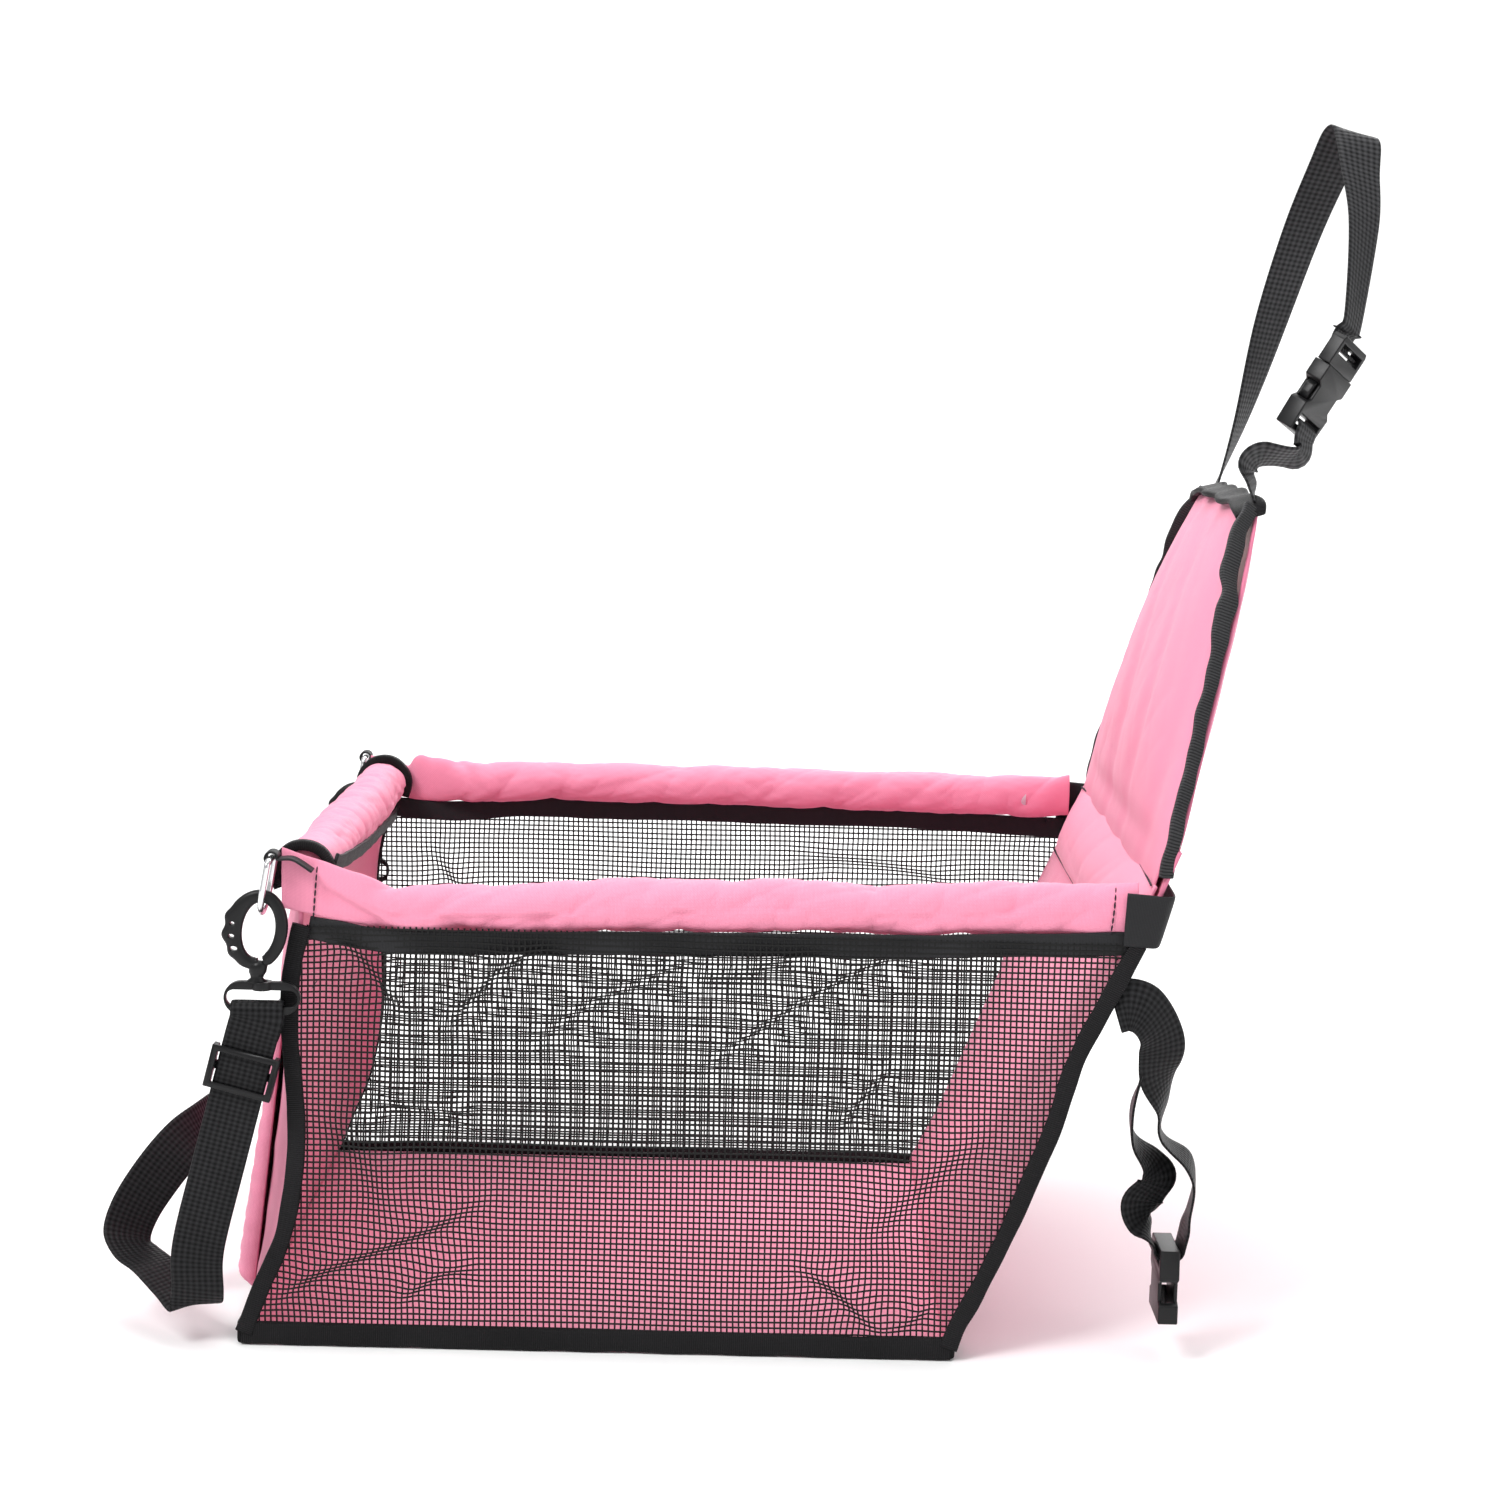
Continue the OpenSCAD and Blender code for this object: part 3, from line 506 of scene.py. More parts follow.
def moulded(name, base, low, high, grain=0.03):
    """Moulded plastic: fine grain, slight sink and roughness drift."""
    f = Finish(name, 0.35, level=0.25)
    d = f.group(DRIFT, f.place)
    pale = tuple(min(1, c * 1.7 + 0.004) for c in base)
    f.colour(blend_colour(f.tree, d["Broad"], (*base, 1), (*pale, 1)))
    f.rough(calc(f.tree, "MULTIPLY_ADD", d["Fine"], 0.5, calc(f.tree, "MULTIPLY", d["Broad"], 0.5)), low, high)
    f.bump(d["Fine"], grain, 0.6)
    return f.mat


def metal(name, base, low, high):
    """Plated wire: bright with a faint drawn grain and dull places."""
    f = Finish(name, 0.2, metal=1.0)
    d = f.group(DRIFT, f.turned(f.place, scale=(1, 1, 0.2)))
    dull = tuple(c * 0.7 for c in base)
    f.colour(blend_colour(f.tree, d["Broad"], (*base, 1), (*dull, 1)))
    f.rough(d["Broad"], low, high)
    f.bump(d["Fine"], 0.01, 0.4)
    return f.mat


PINK = oxford("pink_oxford", (0.93, 0.335, 0.475), (0.66, 0.15, 0.27))
# painted light: a real lining cloth whose pink is set lighter than the outer cloth, standing in for light the lamps
# bring too little of inside the seat
PINK_LINING_PAINTED_LIGHT = oxford("pink_lining_painted_light", (0.95, 0.37, 0.51), (0.76, 0.2, 0.33), pitch=0.5)
# the second colour of each ribbed tape and webbing below is a painted highlight for its crowns
BINDING = ribbed("black_binding", (0.001, 0.001, 0.001), (0.022, 0.021, 0.023), 1.0)
SMOOTH_TAPE = ribbed("black_smooth_tape", (0.013, 0.013, 0.014), (0.03, 0.03, 0.032), 0.7, 0.06)
GATHERED = ribbed("black_gathered_tape", (0.001, 0.001, 0.001), (0.07, 0.07, 0.074), 1.5, 0.5)
WEB = webbing("black_webbing", (0.001, 0.001, 0.001), (0.07, 0.07, 0.074), 1.9)
WEB_FINE = webbing("black_webbing_fine", (0.001, 0.001, 0.001), (0.03, 0.03, 0.032), 1.6)
YARN = moulded("black_net_yarn", (0.003, 0.003, 0.003), 0.5, 0.7)
THREAD = moulded("black_thread", (0.01, 0.008, 0.012), 0.5, 0.7)
PLASTIC = moulded("black_buckle_plastic", (0.004, 0.004, 0.0045), 0.28, 0.46)
BRIGHT = metal("bright_wire", (0.88, 0.88, 0.9), 0.1, 0.24)
ZIP_METAL = metal("dark_zip_metal", (0.09, 0.09, 0.1), 0.2, 0.4)
TUBE = moulded("tube_plastic", (0.55, 0.55, 0.56), 0.3, 0.5)
BOARD = moulded("board_fibre", (0.32, 0.22, 0.13), 0.7, 0.9, 0.1)
FOAM = moulded("foam", (0.75, 0.72, 0.6), 0.8, 0.95, 0.3)


def dress(obj, material, slot, body, *replaced):
    """Gives a piece its material and body, and hides the CAD nodes it stands for. The slot argument is not used."""
    obj.data.materials.clear()
    obj.data.materials.append(material)
    if body:
        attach(obj, body)
    if replaced:
        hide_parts(*replaced)
    return obj


def rounded(node, material, slot, width=0.5, segments=2):
    """A CAD node's mesh copied, merged, its flat faces dissolved, and its edges given a moulded radius."""
    source = nodes[node]
    mesh = source.data.copy()
    bm = bmesh.new()
    bm.from_mesh(mesh)
    bmesh.ops.remove_doubles(bm, verts=bm.verts, dist=0.00002)
    bmesh.ops.dissolve_limit(bm, angle_limit=math.radians(1.5), verts=bm.verts, edges=bm.edges)
    bm.to_mesh(mesh)
    bm.free()
    mesh.polygons.foreach_set("use_smooth", np.full(len(mesh.polygons), True))
    obj = bpy.data.objects.new(node + "_rounded", mesh)
    scene.collection.objects.link(obj)
    m = obj.modifiers.new("radius", "BEVEL")
    m.width, m.segments, m.limit_method, m.angle_limit = width * 0.001, segments, "ANGLE", math.radians(30)
    m.harden_normals = True
    return dress(obj, material, slot, source["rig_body"], node)


# ---- floor, backdrop and soft studio light ----
def studio():
    """A pale floor that curves up into a wall behind, four wide soft lights and a bright even surround."""
    run = np.r_[np.linspace(-2600, 1400, 12), 1400 + 900 * np.sin(np.linspace(0.1, 1.57, 14)), 2300]
    rise = np.r_[np.zeros(12), 900 - 900 * np.cos(np.linspace(0.1, 1.57, 14)), 3600]
    side = np.linspace(-4200, 4200, 9)
    P = grid(side[:, None], run[None, :], rise[None, :] - 0.4)
    floor = surface("studio_floor", P, uv=(side, run))
    f = Finish("studio_paper", 0.85, level=0.2)
    f.colour(blend_colour(f.tree, calc(f.tree, "MULTIPLY", noise(f.tree, f.place, 3), 0.3), (0.93, 0.93, 0.93, 1),
                          (0.91, 0.91, 0.91, 1)))
    floor.data.materials.append(f.mat)
    for name, place, size, power in (("key_light", (-1.3, -1.5, 2.2), 0.9, 50),
                                     ("fill_light", (2.1, -1.6, 1.0), 1.8, 12),
                                     ("top_light", (0.1, 0.1, 2.4), 1.8, 30), ("back_light", (0.6, 1.7, 1.5), 1.6, 20)):
        lamp = bpy.data.lights.new(name, "AREA")
        lamp.size, lamp.energy = size, power
        obj = bpy.data.objects.new(name, lamp)
        obj.location = place
        obj.rotation_euler = (Vector((0.05, 0, 0.22)) - Vector(place)).to_track_quat("-Z", "Y").to_euler()
        scene.collection.objects.link(obj)
    world = bpy.data.worlds.new("surround")
    world.use_nodes = True
    world.node_tree.nodes["Background"].inputs[0].default_value = (1, 1, 1, 1)
    world.node_tree.nodes["Background"].inputs[1].default_value = 0.56
    scene.world = world
    scene.view_settings.view_transform = "Standard"


studio()
carrier = "carrier"
SEAM_F = ([5, 27, 52, 72, 136, 150, 189, 206], [-168, -160, -150, -145.5, -144.5, -146, -144.5, -140.5])
SEAM_B = ([10, 35, 65, 95, 115, 154, 174, 206], [168, 181, 194.5, 206.5, 214, 226, 236, 251])


def seam_front(z):
    """x of the front edge of a side net at height z: a soft curve through the sewn line."""
    return curve(np.clip(z, 5, 206), *SEAM_F)


def seam_back(z):
    """x of the back edge of a side net at height z."""
    return curve(np.clip(z, 10, 206), *SEAM_B)


# ---- side nets ----
NET_Y = 160.3  # half the distance between the two nets, mm
NEAR_CREASES = [(-135, 206, -87, 164, 8, 0.9), (-80, 159, -20, 203, 9, 0.9), (-166, 14, -48, 80, 9, 1.0),
                (-99, 26, -57, 40, 7, 0.9), (149, 2, 91, 46, 8, 1.0), (30, 180, 110, 205, 12, 0.5),
                (120, 60, 190, 110, 14, 0.5), (-130, 120, -100, 60, 14, 0.4), (165, 25, 130, 12, 6, 0.9)]
FAR_CREASES = [(-120, 190, -60, 120, 9, 0.9), (40, 60, 190, 150, 9, 0.9), (-60, 70, 40, 130, 12, 0.6),
               (90, 190, 200, 170, 10, 0.7), (-150, 40, -90, 20, 9, 0.8), (120, 30, 160, 60, 9, 0.8)]


def drape(x, z, creases, seed):
    """Where a point of the flat net ends up: near each crease line points are drawn towards the line by a Gaussian of
    their distance, and the cloth stands out along it; slow swells move the rest."""
    dx, dz, dy = 0.9 * swell(x, z, seed, 110), 0.9 * swell(x, z, seed + 1, 130), 2.2 * swell(x, z, seed + 2, 150)
    for x0, z0, x1, z1, wide, power in creases:
        length = math.hypot(x1 - x0, z1 - z0)
        tx, tz = (x1 - x0) / length, (z1 - z0) / length
        along = ((x - x0) * tx + (z - z0) * tz) / length
        off = -(x - x0) * tz + (z - z0) * tx + 3 * np.sin(along * 5 + x0)
        fade = np.clip(along * 4, 0, 1) * np.clip((1 - along) * 4, 0, 1)
        near = np.exp(-(off / wide) ** 2) * fade * power
        dx, dz = dx + tz * off * near * 0.62, dz - tx * off * near * 0.62
        dy = dy + 2.6 * near
    inside = np.clip(np.minimum(np.minimum(x - seam_front(z), seam_back(z) - x), np.minimum(z - 8, 206 - z)) / 14, 0, 1)
    return x + dx * inside, z + dz * inside, dy * inside


def net(name, sign, creases, seed, high=206.0, pitch=2.85, yarn=0.42):
    """A square net: level yarns and upright yarns, each a flat four-sided bar, laid on the draped sheet and cut where
    the sewn edges run."""
    yarns = []
    low = 8.0
    z = np.arange(low, high, pitch)[:, None]
    t = np.linspace(0, 1, 112)[None, :]
    x = seam_front(z) + (seam_back(z) - seam_front(z)) * t
    yarns.append((x, z + 0 * x, 1))
    x = np.arange(-165.0, 250.0, pitch)[:, None]
    levels = np.linspace(low, high, 400)
    front, back = seam_front(levels)[None, :], seam_back(levels)[None, :]
    kept = (x > front) & (x < back)
    first = levels[np.argmax(kept, 1)][:, None]
    last = levels[kept.shape[1] - 1 - np.argmax(kept[:, ::-1], 1)][:, None]
    t = np.linspace(0, 1, 58)[None, :]
    z = first + (last - first) * t
    yarns.append((x + 0 * z, z, 0))
    corners, quads, base = [], [], 0
    for x, z, level in yarns:
        px, pz, py = drape(x, z, creases, seed)
        P = np.stack([px, sign * (NET_Y + py + (0.12 if level else -0.12)), pz], -1)
        go = unit(np.gradient(P, axis=1))
        flat = np.zeros_like(P)
        flat[..., 1] = 0.2
        wide = unit(np.cross(go, flat)) * yarn
        ring = np.stack([P + wide + flat, P + wide - flat, P - wide - flat, P - wide + flat], 2)
        k, m = P.shape[:2]
        quads.append(tube_faces(np.arange(k) * m * 4 + base, m, 4))
        first = (np.arange(k) * m * 4 + base)[:, None]
        quads += [first + np.arange(4), first + (m - 1) * 4 + np.arange(4)[::-1]]
        corners.append(ring.reshape(-1, 3))
        base += k * m * 4
    corners, quads = np.vstack(corners), np.vstack(quads)
    return build(name, corners, quads, np.zeros((len(quads), 4, 2)), smooth_faces=False)


dress(net("side_net_near", -1, NEAR_CREASES, 11), YARN, "mesh", carrier, "side_mesh_near")
dress(net("side_net_far", 1, FAR_CREASES, 31, 211.0), YARN, "mesh", carrier, "side_mesh_far")


# ---- bindings round the base and up the side edges ----
def base_ring():
    """Centre line of the base binding: a rectangle with rounded corners, closed at the middle of the back."""
    c = 9.0
    turn = np.linspace(0, math.pi / 2, 5)
    corner = lambda x, y, a: np.stack([x + c * np.cos(turn + a), y + c * np.sin(turn + a)], 1)
    x, y = HALF_L + 1.6 - c, HALF_W + 1.0 - c
    ring = np.vstack([[[x + c, 0], [x + c, 60]], corner(x, y, 0), [[60, y + c], [-60, y + c]],
                      corner(-x, y, math.pi / 2),
                      [[-x - c, 60], [-x - c, -60]], corner(-x, -y, math.pi), [[-60, -y - c], [60, -y - c]],
                      corner(x, -y, 1.5 * math.pi), [[x + c, -60], [x + c, -0.5]]])
    return np.hstack([ring, np.full((len(ring), 1), 5.6)])


def wavy(seed, wide=0.06, lift=0.25, slide=0.3, size=26):
    """Small uneven pull of a sewn tape along its length."""
    return lambda s: (1 + wide * swell(s, 0 * s, seed, size), lift * swell(s, 0 * s, seed + 1, size),
                      slide * swell(s, 0 * s, seed + 2, size * 2))


ring = base_ring()
base_tape = band("base_tape", ring, np.tile([0, 0, 1.0], (len(ring), 1)), 11.2, 2.8, steps=10, soft=0.6,
                 wave=wavy(3, 0.05, 0.3, 0.4))
dress(base_tape, BINDING, "binding_tape", carrier, "base_binding")
for label, sign, shift in (("near", -1, 0), ("far", 1, 40)):
    z = np.linspace(6, 206, 18)
    for part, seam, seed, node in (("front", seam_front, 5, "front_edge_bindings"),
                                   ("back", seam_back, 8, "back_edge_bindings")):
        x = seam(z) + (-1.5 if part == "front" else 1.5) * (1 if sign < 0 else 3)
        points = np.stack([x, np.full_like(z, sign * 161.4), z], 1)
        tape = band(f"{part}_edge_tape_{label}", points, np.tile([1.0, 0, 0], (len(z), 1)), 8.6, 3.2, soft=0.55,
                    wave=wavy(seed + shift, 0.1, 0.3, 0.5))
        dress(tape, BINDING, "binding_tape", carrier, node)

# ---- sleeves over the tubes ----
ROD_R = 7  # radius of a side rod inside its sleeve, mm
SLEEVE_X = [-151.5, -132, -129.5, -126.5, -115, -101, -88, -60, 40, 150, 210, 232, 252]
SLEEVE_DEEP = [3.4, 4, 4.5, 5.2, 7, 16, 23, 26, 26, 26, 23, 19, 9]
SLEEVE_TOP = {-1: [243, 237, 236.2, 235, 231.5, 225.4, 224.8, 225.8, 231, 231.5, 233.5, 234.5, 235],
              1: [241, 235.5, 235, 239.4, 240.5, 241, 241.5, 241.7, 241.6, 241.5, 240, 239.5, 240]}
SLEEVE_LOW = {-1: [213, 209.5, 209, 208.3, 206, 200.6, 198.8, 199.4, 204.2, 205, 206.5, 207.5, 209],
              1: [219, 216, 215.6, 215.2, 214.7, 214.8, 215.5, 217.6, 218, 216.1, 215, 214.5, 215]}


def side_sleeve(label, sign, lift, seed):
    """A cloth tube along the side rim: an oval section whose height, depth and centre follow soft curves along x, flat
    at the front flap and at the back hem, with crumpled creases pressed into it and one slanting fold by the flap."""
    x = np.linspace(-151.5, 252, 520)[:, None]
    turn = np.linspace(0, 2 * math.pi, 72, endpoint=False)[None, :]
    top, low = curve(x, SLEEVE_X, SLEEVE_TOP[sign]), curve(x, SLEEVE_X, SLEEVE_LOW[sign])
    deep = curve(x, SLEEVE_X, SLEEVE_DEEP)
    fold = np.clip((deep - 4) / 20, 0, 1)
    crease = crumple(x, turn * 13, seed, 34, 2.2, 1.1, 9) * 4.6 + crumple(x, turn * 13, seed + 5, 13, 2.5, 1.2, 8) * 0.8
    pull = 3.0 * np.exp(-((x + 101 + 9 * np.cos(turn)) / 5) ** 2)
    r = 1 + (-crease * (0.3 + 0.7 * fold) - pull * 0.6 + 0.5 * swell(x, turn * 13, seed + 9, 70)) / 13.5
    c, s = np.cos(turn), np.sin(turn)
    y = 161.6 - deep / 2 + deep / 2 * np.sign(c) * np.abs(c) ** 0.9 * r
    z = (top + low) / 2 + (top - low) / 2 * np.sign(s) * np.abs(s) ** 0.9 * (1 + (r - 1) * 0.8)
    z = z + 0.8 * swell(x, 0 * x, seed + 2, 90)
    slant = z - (226 + lift * 2 - (x + 134) * 0.57)
    step = (c > 0) * 1.3 * np.tanh(slant / 1.1) * np.exp(-(slant / 13) ** 2)
    y = y + step * np.clip((x + 136) / 4, 0, 1) * np.clip((-92 - x) / 14, 0, 1)
    sleeve = surface(f"side_sleeve_cloth_{label}", grid(x, sign * y, z), closed_v=True, caps=True)
    dress(sleeve, PINK, "pink_fabric", carrier, f"side_sleeve_{label}")
    rod_x = np.linspace(-74, 226, 24)[:, None]
    mid = (curve(rod_x, SLEEVE_X, SLEEVE_TOP[sign]) + curve(rod_x, SLEEVE_X, SLEEVE_LOW[sign])) / 2
    rod = grid(rod_x, sign * 148.6 + ROD_R * np.cos(turn), mid + ROD_R * np.sin(turn))
    dress(surface(f"side_rod_{label}", rod, closed_v=True, caps=True), TUBE, "tube_plastic", carrier,
          f"side_tube_{label}")
    k = np.linspace(0, 1, 12)
    for at, far_low, far_high in ((240.5, 206, 234), (-135.5, 209, 238)) if sign < 0 else ((240.5, 206, 235),):
        zz = far_low + lift + (far_high - far_low) * k
        depth = np.interp(at, SLEEVE_X, SLEEVE_DEEP) / 2
        ang = np.arcsin(np.clip(2 * k - 1, -0.96, 0.96))
        outer = np.stack([at + 2.2 * (k - 0.5), sign * (161.9 - depth + depth * np.cos(ang)), zz], 1)
        line = stitches(f"sleeve_stitch_{label}_{'back' if at > 0 else 'front'}", outer, 3.2, 0.5, 0.45)
        dress(line, THREAD, "binding_tape", carrier)


side_sleeve("near", -1, 0, 71)
side_sleeve("far", 1, 5, 91)
RIM = {-1: ([-139, -100, -70, 0, 90, 150, 190, 250], [204.5, 198.6, 198.6, 200.2, 201.4, 202.2, 203.6, 206]),
       1: ([-139, -120, -103, -63, -17, 39, 96, 153, 210, 250],
           [211.5, 209.9, 209.4, 212.9, 212.5, 212.7, 211.6, 211.6, 209.3, 208])}
for label, sign in (("near", -1), ("far", 1)):
    x = np.linspace(-139, 250, 24)
    z = curve(x, *RIM[sign])
    tape = band(f"rim_tape_{label}", np.stack([x, np.full_like(x, sign * 159.2), z], 1),
                np.tile([0, 0, 1.0], (len(x), 1)),
                11.5, 1.8, wave=wavy(13, 0.04, 0.3, 0.3))
    dress(tape, SMOOTH_TAPE, "binding_tape", carrier, "rim_tapes")


def front_rim():
    """The front sleeve: a round cloth tube across the front, sagging a little to the far side, creased round itself."""
    y = np.linspace(-151, 151, 300)[:, None]
    turn = np.linspace(0, 2 * math.pi, 64, endpoint=False)[None, :]
    mid_z = 228.5 - 2.5 * (y + 151) / 302 + 0.7 * swell(y, 0 * y, 5, 120)
    mid_x = -142.6 + 0.6 * swell(y, 0 * y, 6, 140)
    crease = crumple(y, turn * 14, 17, 30, 2.2, 1.1, 9) * 3.2 + crumple(y, turn * 14, 18, 12, 2.0, 1.2, 7) * 0.8
    r = 14.2 - crease + 0.6 * swell(y, turn * 14, 19, 80) - 1.6 * np.exp(-((151 - np.abs(y)) / 9) ** 2)
    P = grid(mid_x + r * np.cos(turn), y, mid_z + r * 1.02 * np.sin(turn))
    dress(surface("front_sleeve_cloth", P, closed_v=True, caps=True), PINK, "pink_fabric", carrier, "front_sleeve")
    rod = grid(mid_x + 7.5 * np.cos(turn), np.clip(y, -140, 140), mid_z + 7.5 * np.sin(turn))[14:-14]
    dress(surface("front_rod", rod, closed_v=True, caps=True), TUBE, "tube_plastic", carrier, "front_tube")
    for sign in (-1, 1):
        a = np.linspace(math.radians(-30), math.radians(210), 14)
        mz = 229 if sign < 0 else 226
        arc = np.stack([-142.6 + 13.4 * np.cos(a), np.full_like(a, sign * 151.8), mz + 14 * np.sin(a)], 1)
        tape = band(f"front_sleeve_tape_{'near' if sign < 0 else 'far'}", arc, np.tile([0, 1.0, 0], (len(a), 1)), 6, 5,
                    soft=0.6, wave=wavy(33 + sign, 0.15, 0.4, 0.6, 16))
        dress(tape, BINDING, "binding_tape", carrier, "front_sleeve_bindings")
    y = np.array([-150, -130, -90, -30, 40, 100, 150.0])
    x = np.array([-127.6, -128.2, -129.5, -131, -132.5, -134, -135.5])
    z = np.array([235, 231, 226, 220, 215, 211.5, 209.0])
    tape = band("front_inner_tape", np.stack([x, y, z], 1), np.tile([0.25, 0, 1.0], (7, 1)), 8, 1.6,
                wave=wavy(43, 0.05, 0.4, 0.5))
    dress(tape, SMOOTH_TAPE, "binding_tape", carrier, "front_inner_band")


front_rim()


# ---- front panel, pocket and zip ----
def front_sheet(y, z):
    """x of the front panel: its sewn edges follow the nets' front seam and its middle hangs to a fuller curve."""
    mid = curve(z, [0, 25, 60, 100, 140, 152, 172, 195, 218, 240],
                [-171, -167.5, -164, -159.5, -154.5, -153.5, -157, -155, -150, -150])
    hold = 1 - np.abs(y / 158.5) ** 9
    return seam_front(z) - 2 + (mid - seam_front(z) + 2) * hold - 1.5 * crumple(y, z, 51, 60, 2.5, 1.4) * hold


def walls():
    """The front wall as a single sheet over y and z, with crumple and a fuller middle."""
    y, z = np.linspace(-158.5, 158.5, 150)[:, None], np.linspace(3, 226, 110)[None, :]
    y, z = np.broadcast_arrays(y, z)
    sheet = thicken(surface("front_wall", np.stack([front_sheet(y, z), y, z], -1)), 2.0, 0)
    dress(sheet, PINK, "pink_fabric", carrier, "front_panel")


walls()


def pocket():
    """The pocket: a shallow pouch standing off the front wall, full low down, its edges rounded by an eighth-power
    fall-off, puckered along its sewn sides."""
    u, v = np.linspace(-1, 1, 150)[:, None], np.linspace(0, 1, 90)[None, :]
    u, v = np.broadcast_arrays(u, v)
    y = u * 135
    z = 19.5 + v * 131
    full = curve(z, [19, 23, 32, 60, 94, 119, 140, 150.6], [1.5, 8.6, 10.5, 9.8, 8.2, 7.2, 7.4, 8.2])
    edge = (1 - np.abs(u) ** 26) ** 0.5
    pucker = crumple(z, y, 61, 13, 3, 0.5) * np.exp(-((1 - np.abs(u)) * 135 / 16) ** 2) * 2.2
    x = front_at(z) - 0.8 - full * edge + pucker * edge + 1.7 * crumple(y, z, 62, 55, 2.2, 1.3) * edge * (1 - v * 0.5)
    face = thicken(surface("pocket_face", np.stack([x, y, z], -1)), 1.4, 0)
    dress(face, PINK, "pink_fabric", carrier, "front_pocket")
    y = np.linspace(-134, 134, 120)[:, None]
    t = np.linspace(0, 1, 9)[None, :]
    near, far = front_at(150.6) - 9.4, front_at(150.6) + 0.8
    P = grid(near + (far - near) * t, y, 150.9 + 0.35 * swell(y, t * 9, 63, 22) * np.sin(np.pi * t))
    tape = thicken(surface("zip_tape_cloth", P), 0.9, 0)
    dress(tape, SMOOTH_TAPE, "binding_tape", carrier, "pocket_zip_tape")
    lo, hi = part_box("pocket_zip_teeth")
    lo, hi = np.array(lo) * 1000, np.array(hi) * 1000
    count = 130
    at = np.linspace(lo[1] + 1, hi[1] - 1, count)
    t = np.linspace(0, 2 * math.pi, 10, endpoint=False)
    k = np.linspace(0, 1, 4)
    cx, cz = (lo[0] + hi[0]) / 2, (lo[2] + hi[2]) / 2
    one = np.stack([np.stack([np.full(10, cx + (q - 0.5) * (hi[0] - lo[0])), 0.75 * np.cos(t), 0.62 * np.sin(t)],
                             -1) for q in k])
    P = one[None] + np.stack([0 * at, at, np.full(count, cz)], -1)[:, None, None]
    quads = tube_faces(np.arange(count) * 40, 4, 10)
    ends = [b0 + e + r for b0 in range(0, count * 40, 40) for e, r in ((0, np.arange(10)), (30, np.arange(10)[::-1]))]
    coil = build("zip_coil", P.reshape(-1, 3), quads, np.zeros((len(quads), 4, 2)), ends,
                 [np.zeros((10, 2))] * len(ends))
    dress(coil, PLASTIC, "zip_metal", carrier, "pocket_zip_teeth")
    for side in (-1, 1):
        z = np.linspace(22, 149, 20)
        line = stitches(f"pocket_stitch_{'near' if side < 0 else 'far'}",
                        np.stack([front_at(z) - 2.4 - full.mean() * 0.05, np.full_like(z, side * 133.6), z], 1), 3, 1,
                        0.35)
        dress(line, THREAD, "binding_tape", carrier)


pocket()
rounded("zip_slider", ZIP_METAL, "zip_metal", 0.35)
rounded("zip_pull", ZIP_METAL, "zip_metal", 0.3)


# ---- back wall, its inner lining and the floor ----
def back_sheet(y, z):
    """x of the back wall's outside: the straight leaning line, fuller in the middle and caught in at the side seams."""
    full = curve(z, [0, 17, 48, 86, 114, 150, 180, 205, 228, 250], [0, 7, 9.5, 11, 9.5, 7.5, 6.5, 1.5, 3, 1])
    hold = 1 - np.abs(y / 158.5) ** 6
    seam = np.where(z < 206, seam_back(z) - back_at(z), (seam_back(206) - back_at(206)) * np.clip((226 - z) / 20, 0, 1))
    x = back_at(z) + seam * (1 - hold) + full * hold - 2.2 * crumple(y, z, 81, 70, 2.6, 1.3) * hold
    return x - 2.5 * np.exp(-((z - 214) / 7) ** 2) * hold


def back_walls():
    """The back wall sheet, carried up past the fold line, and the two lining panels puffed between their seams."""
    y, z = np.broadcast_arrays(np.linspace(-158.5, 158.5, 150)[:, None], np.linspace(3, 250, 120)[None, :])
    sheet = thicken(surface("back_wall", np.stack([back_sheet(y, z), y, z], -1)), 2.0, 0)
    dress(sheet, PINK, "pink_fabric", None, "back_panel")
    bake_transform(sheet)
    for name, low, high, puff, seed in (("lining_panel_lower", 4, 197, 3.5, 83),
                                        ("lining_panel_upper", 196, 233, 9, 84)):
        u, v = np.broadcast_arrays(np.linspace(-1, 1, 130)[:, None], np.linspace(0, 1, 60)[None, :])
        y = u * 157
        top = high + (4 * (1 - u**2) if high > 200 else 0)
        z = low + (top - low) * v
        hill = np.sin(np.pi * v) ** 0.6 * (1 - np.abs(u) ** 8)
        x = back_at(z) - 3.4 - puff * hill + 3.2 * crumple(y, z, seed, 42, 2.2, 0.8) * hill
        sheet = thicken(surface(name, np.stack([x, y, z], -1)), 1.2, 0)
        dress(sheet, PINK_LINING_PAINTED_LIGHT, "pink_fabric", carrier)
        edge = np.linspace(-154, 154, 60)
        high_z = high + (4 * (1 - (edge / 157) ** 2) if high > 200 else 0 * edge)
        line = stitches(name + "_seam", np.stack([back_at(high_z) - 5.6 + 0 * edge, edge, high_z], 1), 3.4, 0.25, 0.6)
        dress(line, THREAD, "binding_tape", carrier)


back_walls()


def floor_pad():
    """The floor: an outer bottom cloth drawn round a board, and a lining on it puffed a little between the walls."""
    u, v = np.broadcast_arrays(np.linspace(-1, 1, 140)[:, None], np.linspace(-1, 1, 120)[None, :])
    x, y = u * 169 - 0.5, v * 158.5
    hold = (1 - np.abs(u) ** 12) * (1 - np.abs(v) ** 12)
    z = 5.2 + 2.6 * hold + 2.2 * crumple(x, y, 91, 75, 2.4, 1.4) * hold
    dress(thicken(surface("floor_lining", np.stack([x, y, z], -1)), 1.2, 0), PINK_LINING_PAINTED_LIGHT, "pink_fabric", carrier,
          "base_lining")
    x, y = u * 169.5, v * 159.5
    z = 0.9 + 0.5 * crumple(x, y, 92, 80, 2.4, 1.4)
    dress(thicken(surface("bottom_cloth", np.stack([x, y, z], -1)), 1.2, 0), PINK, "pink_fabric", carrier, "base_panel")


floor_pad()


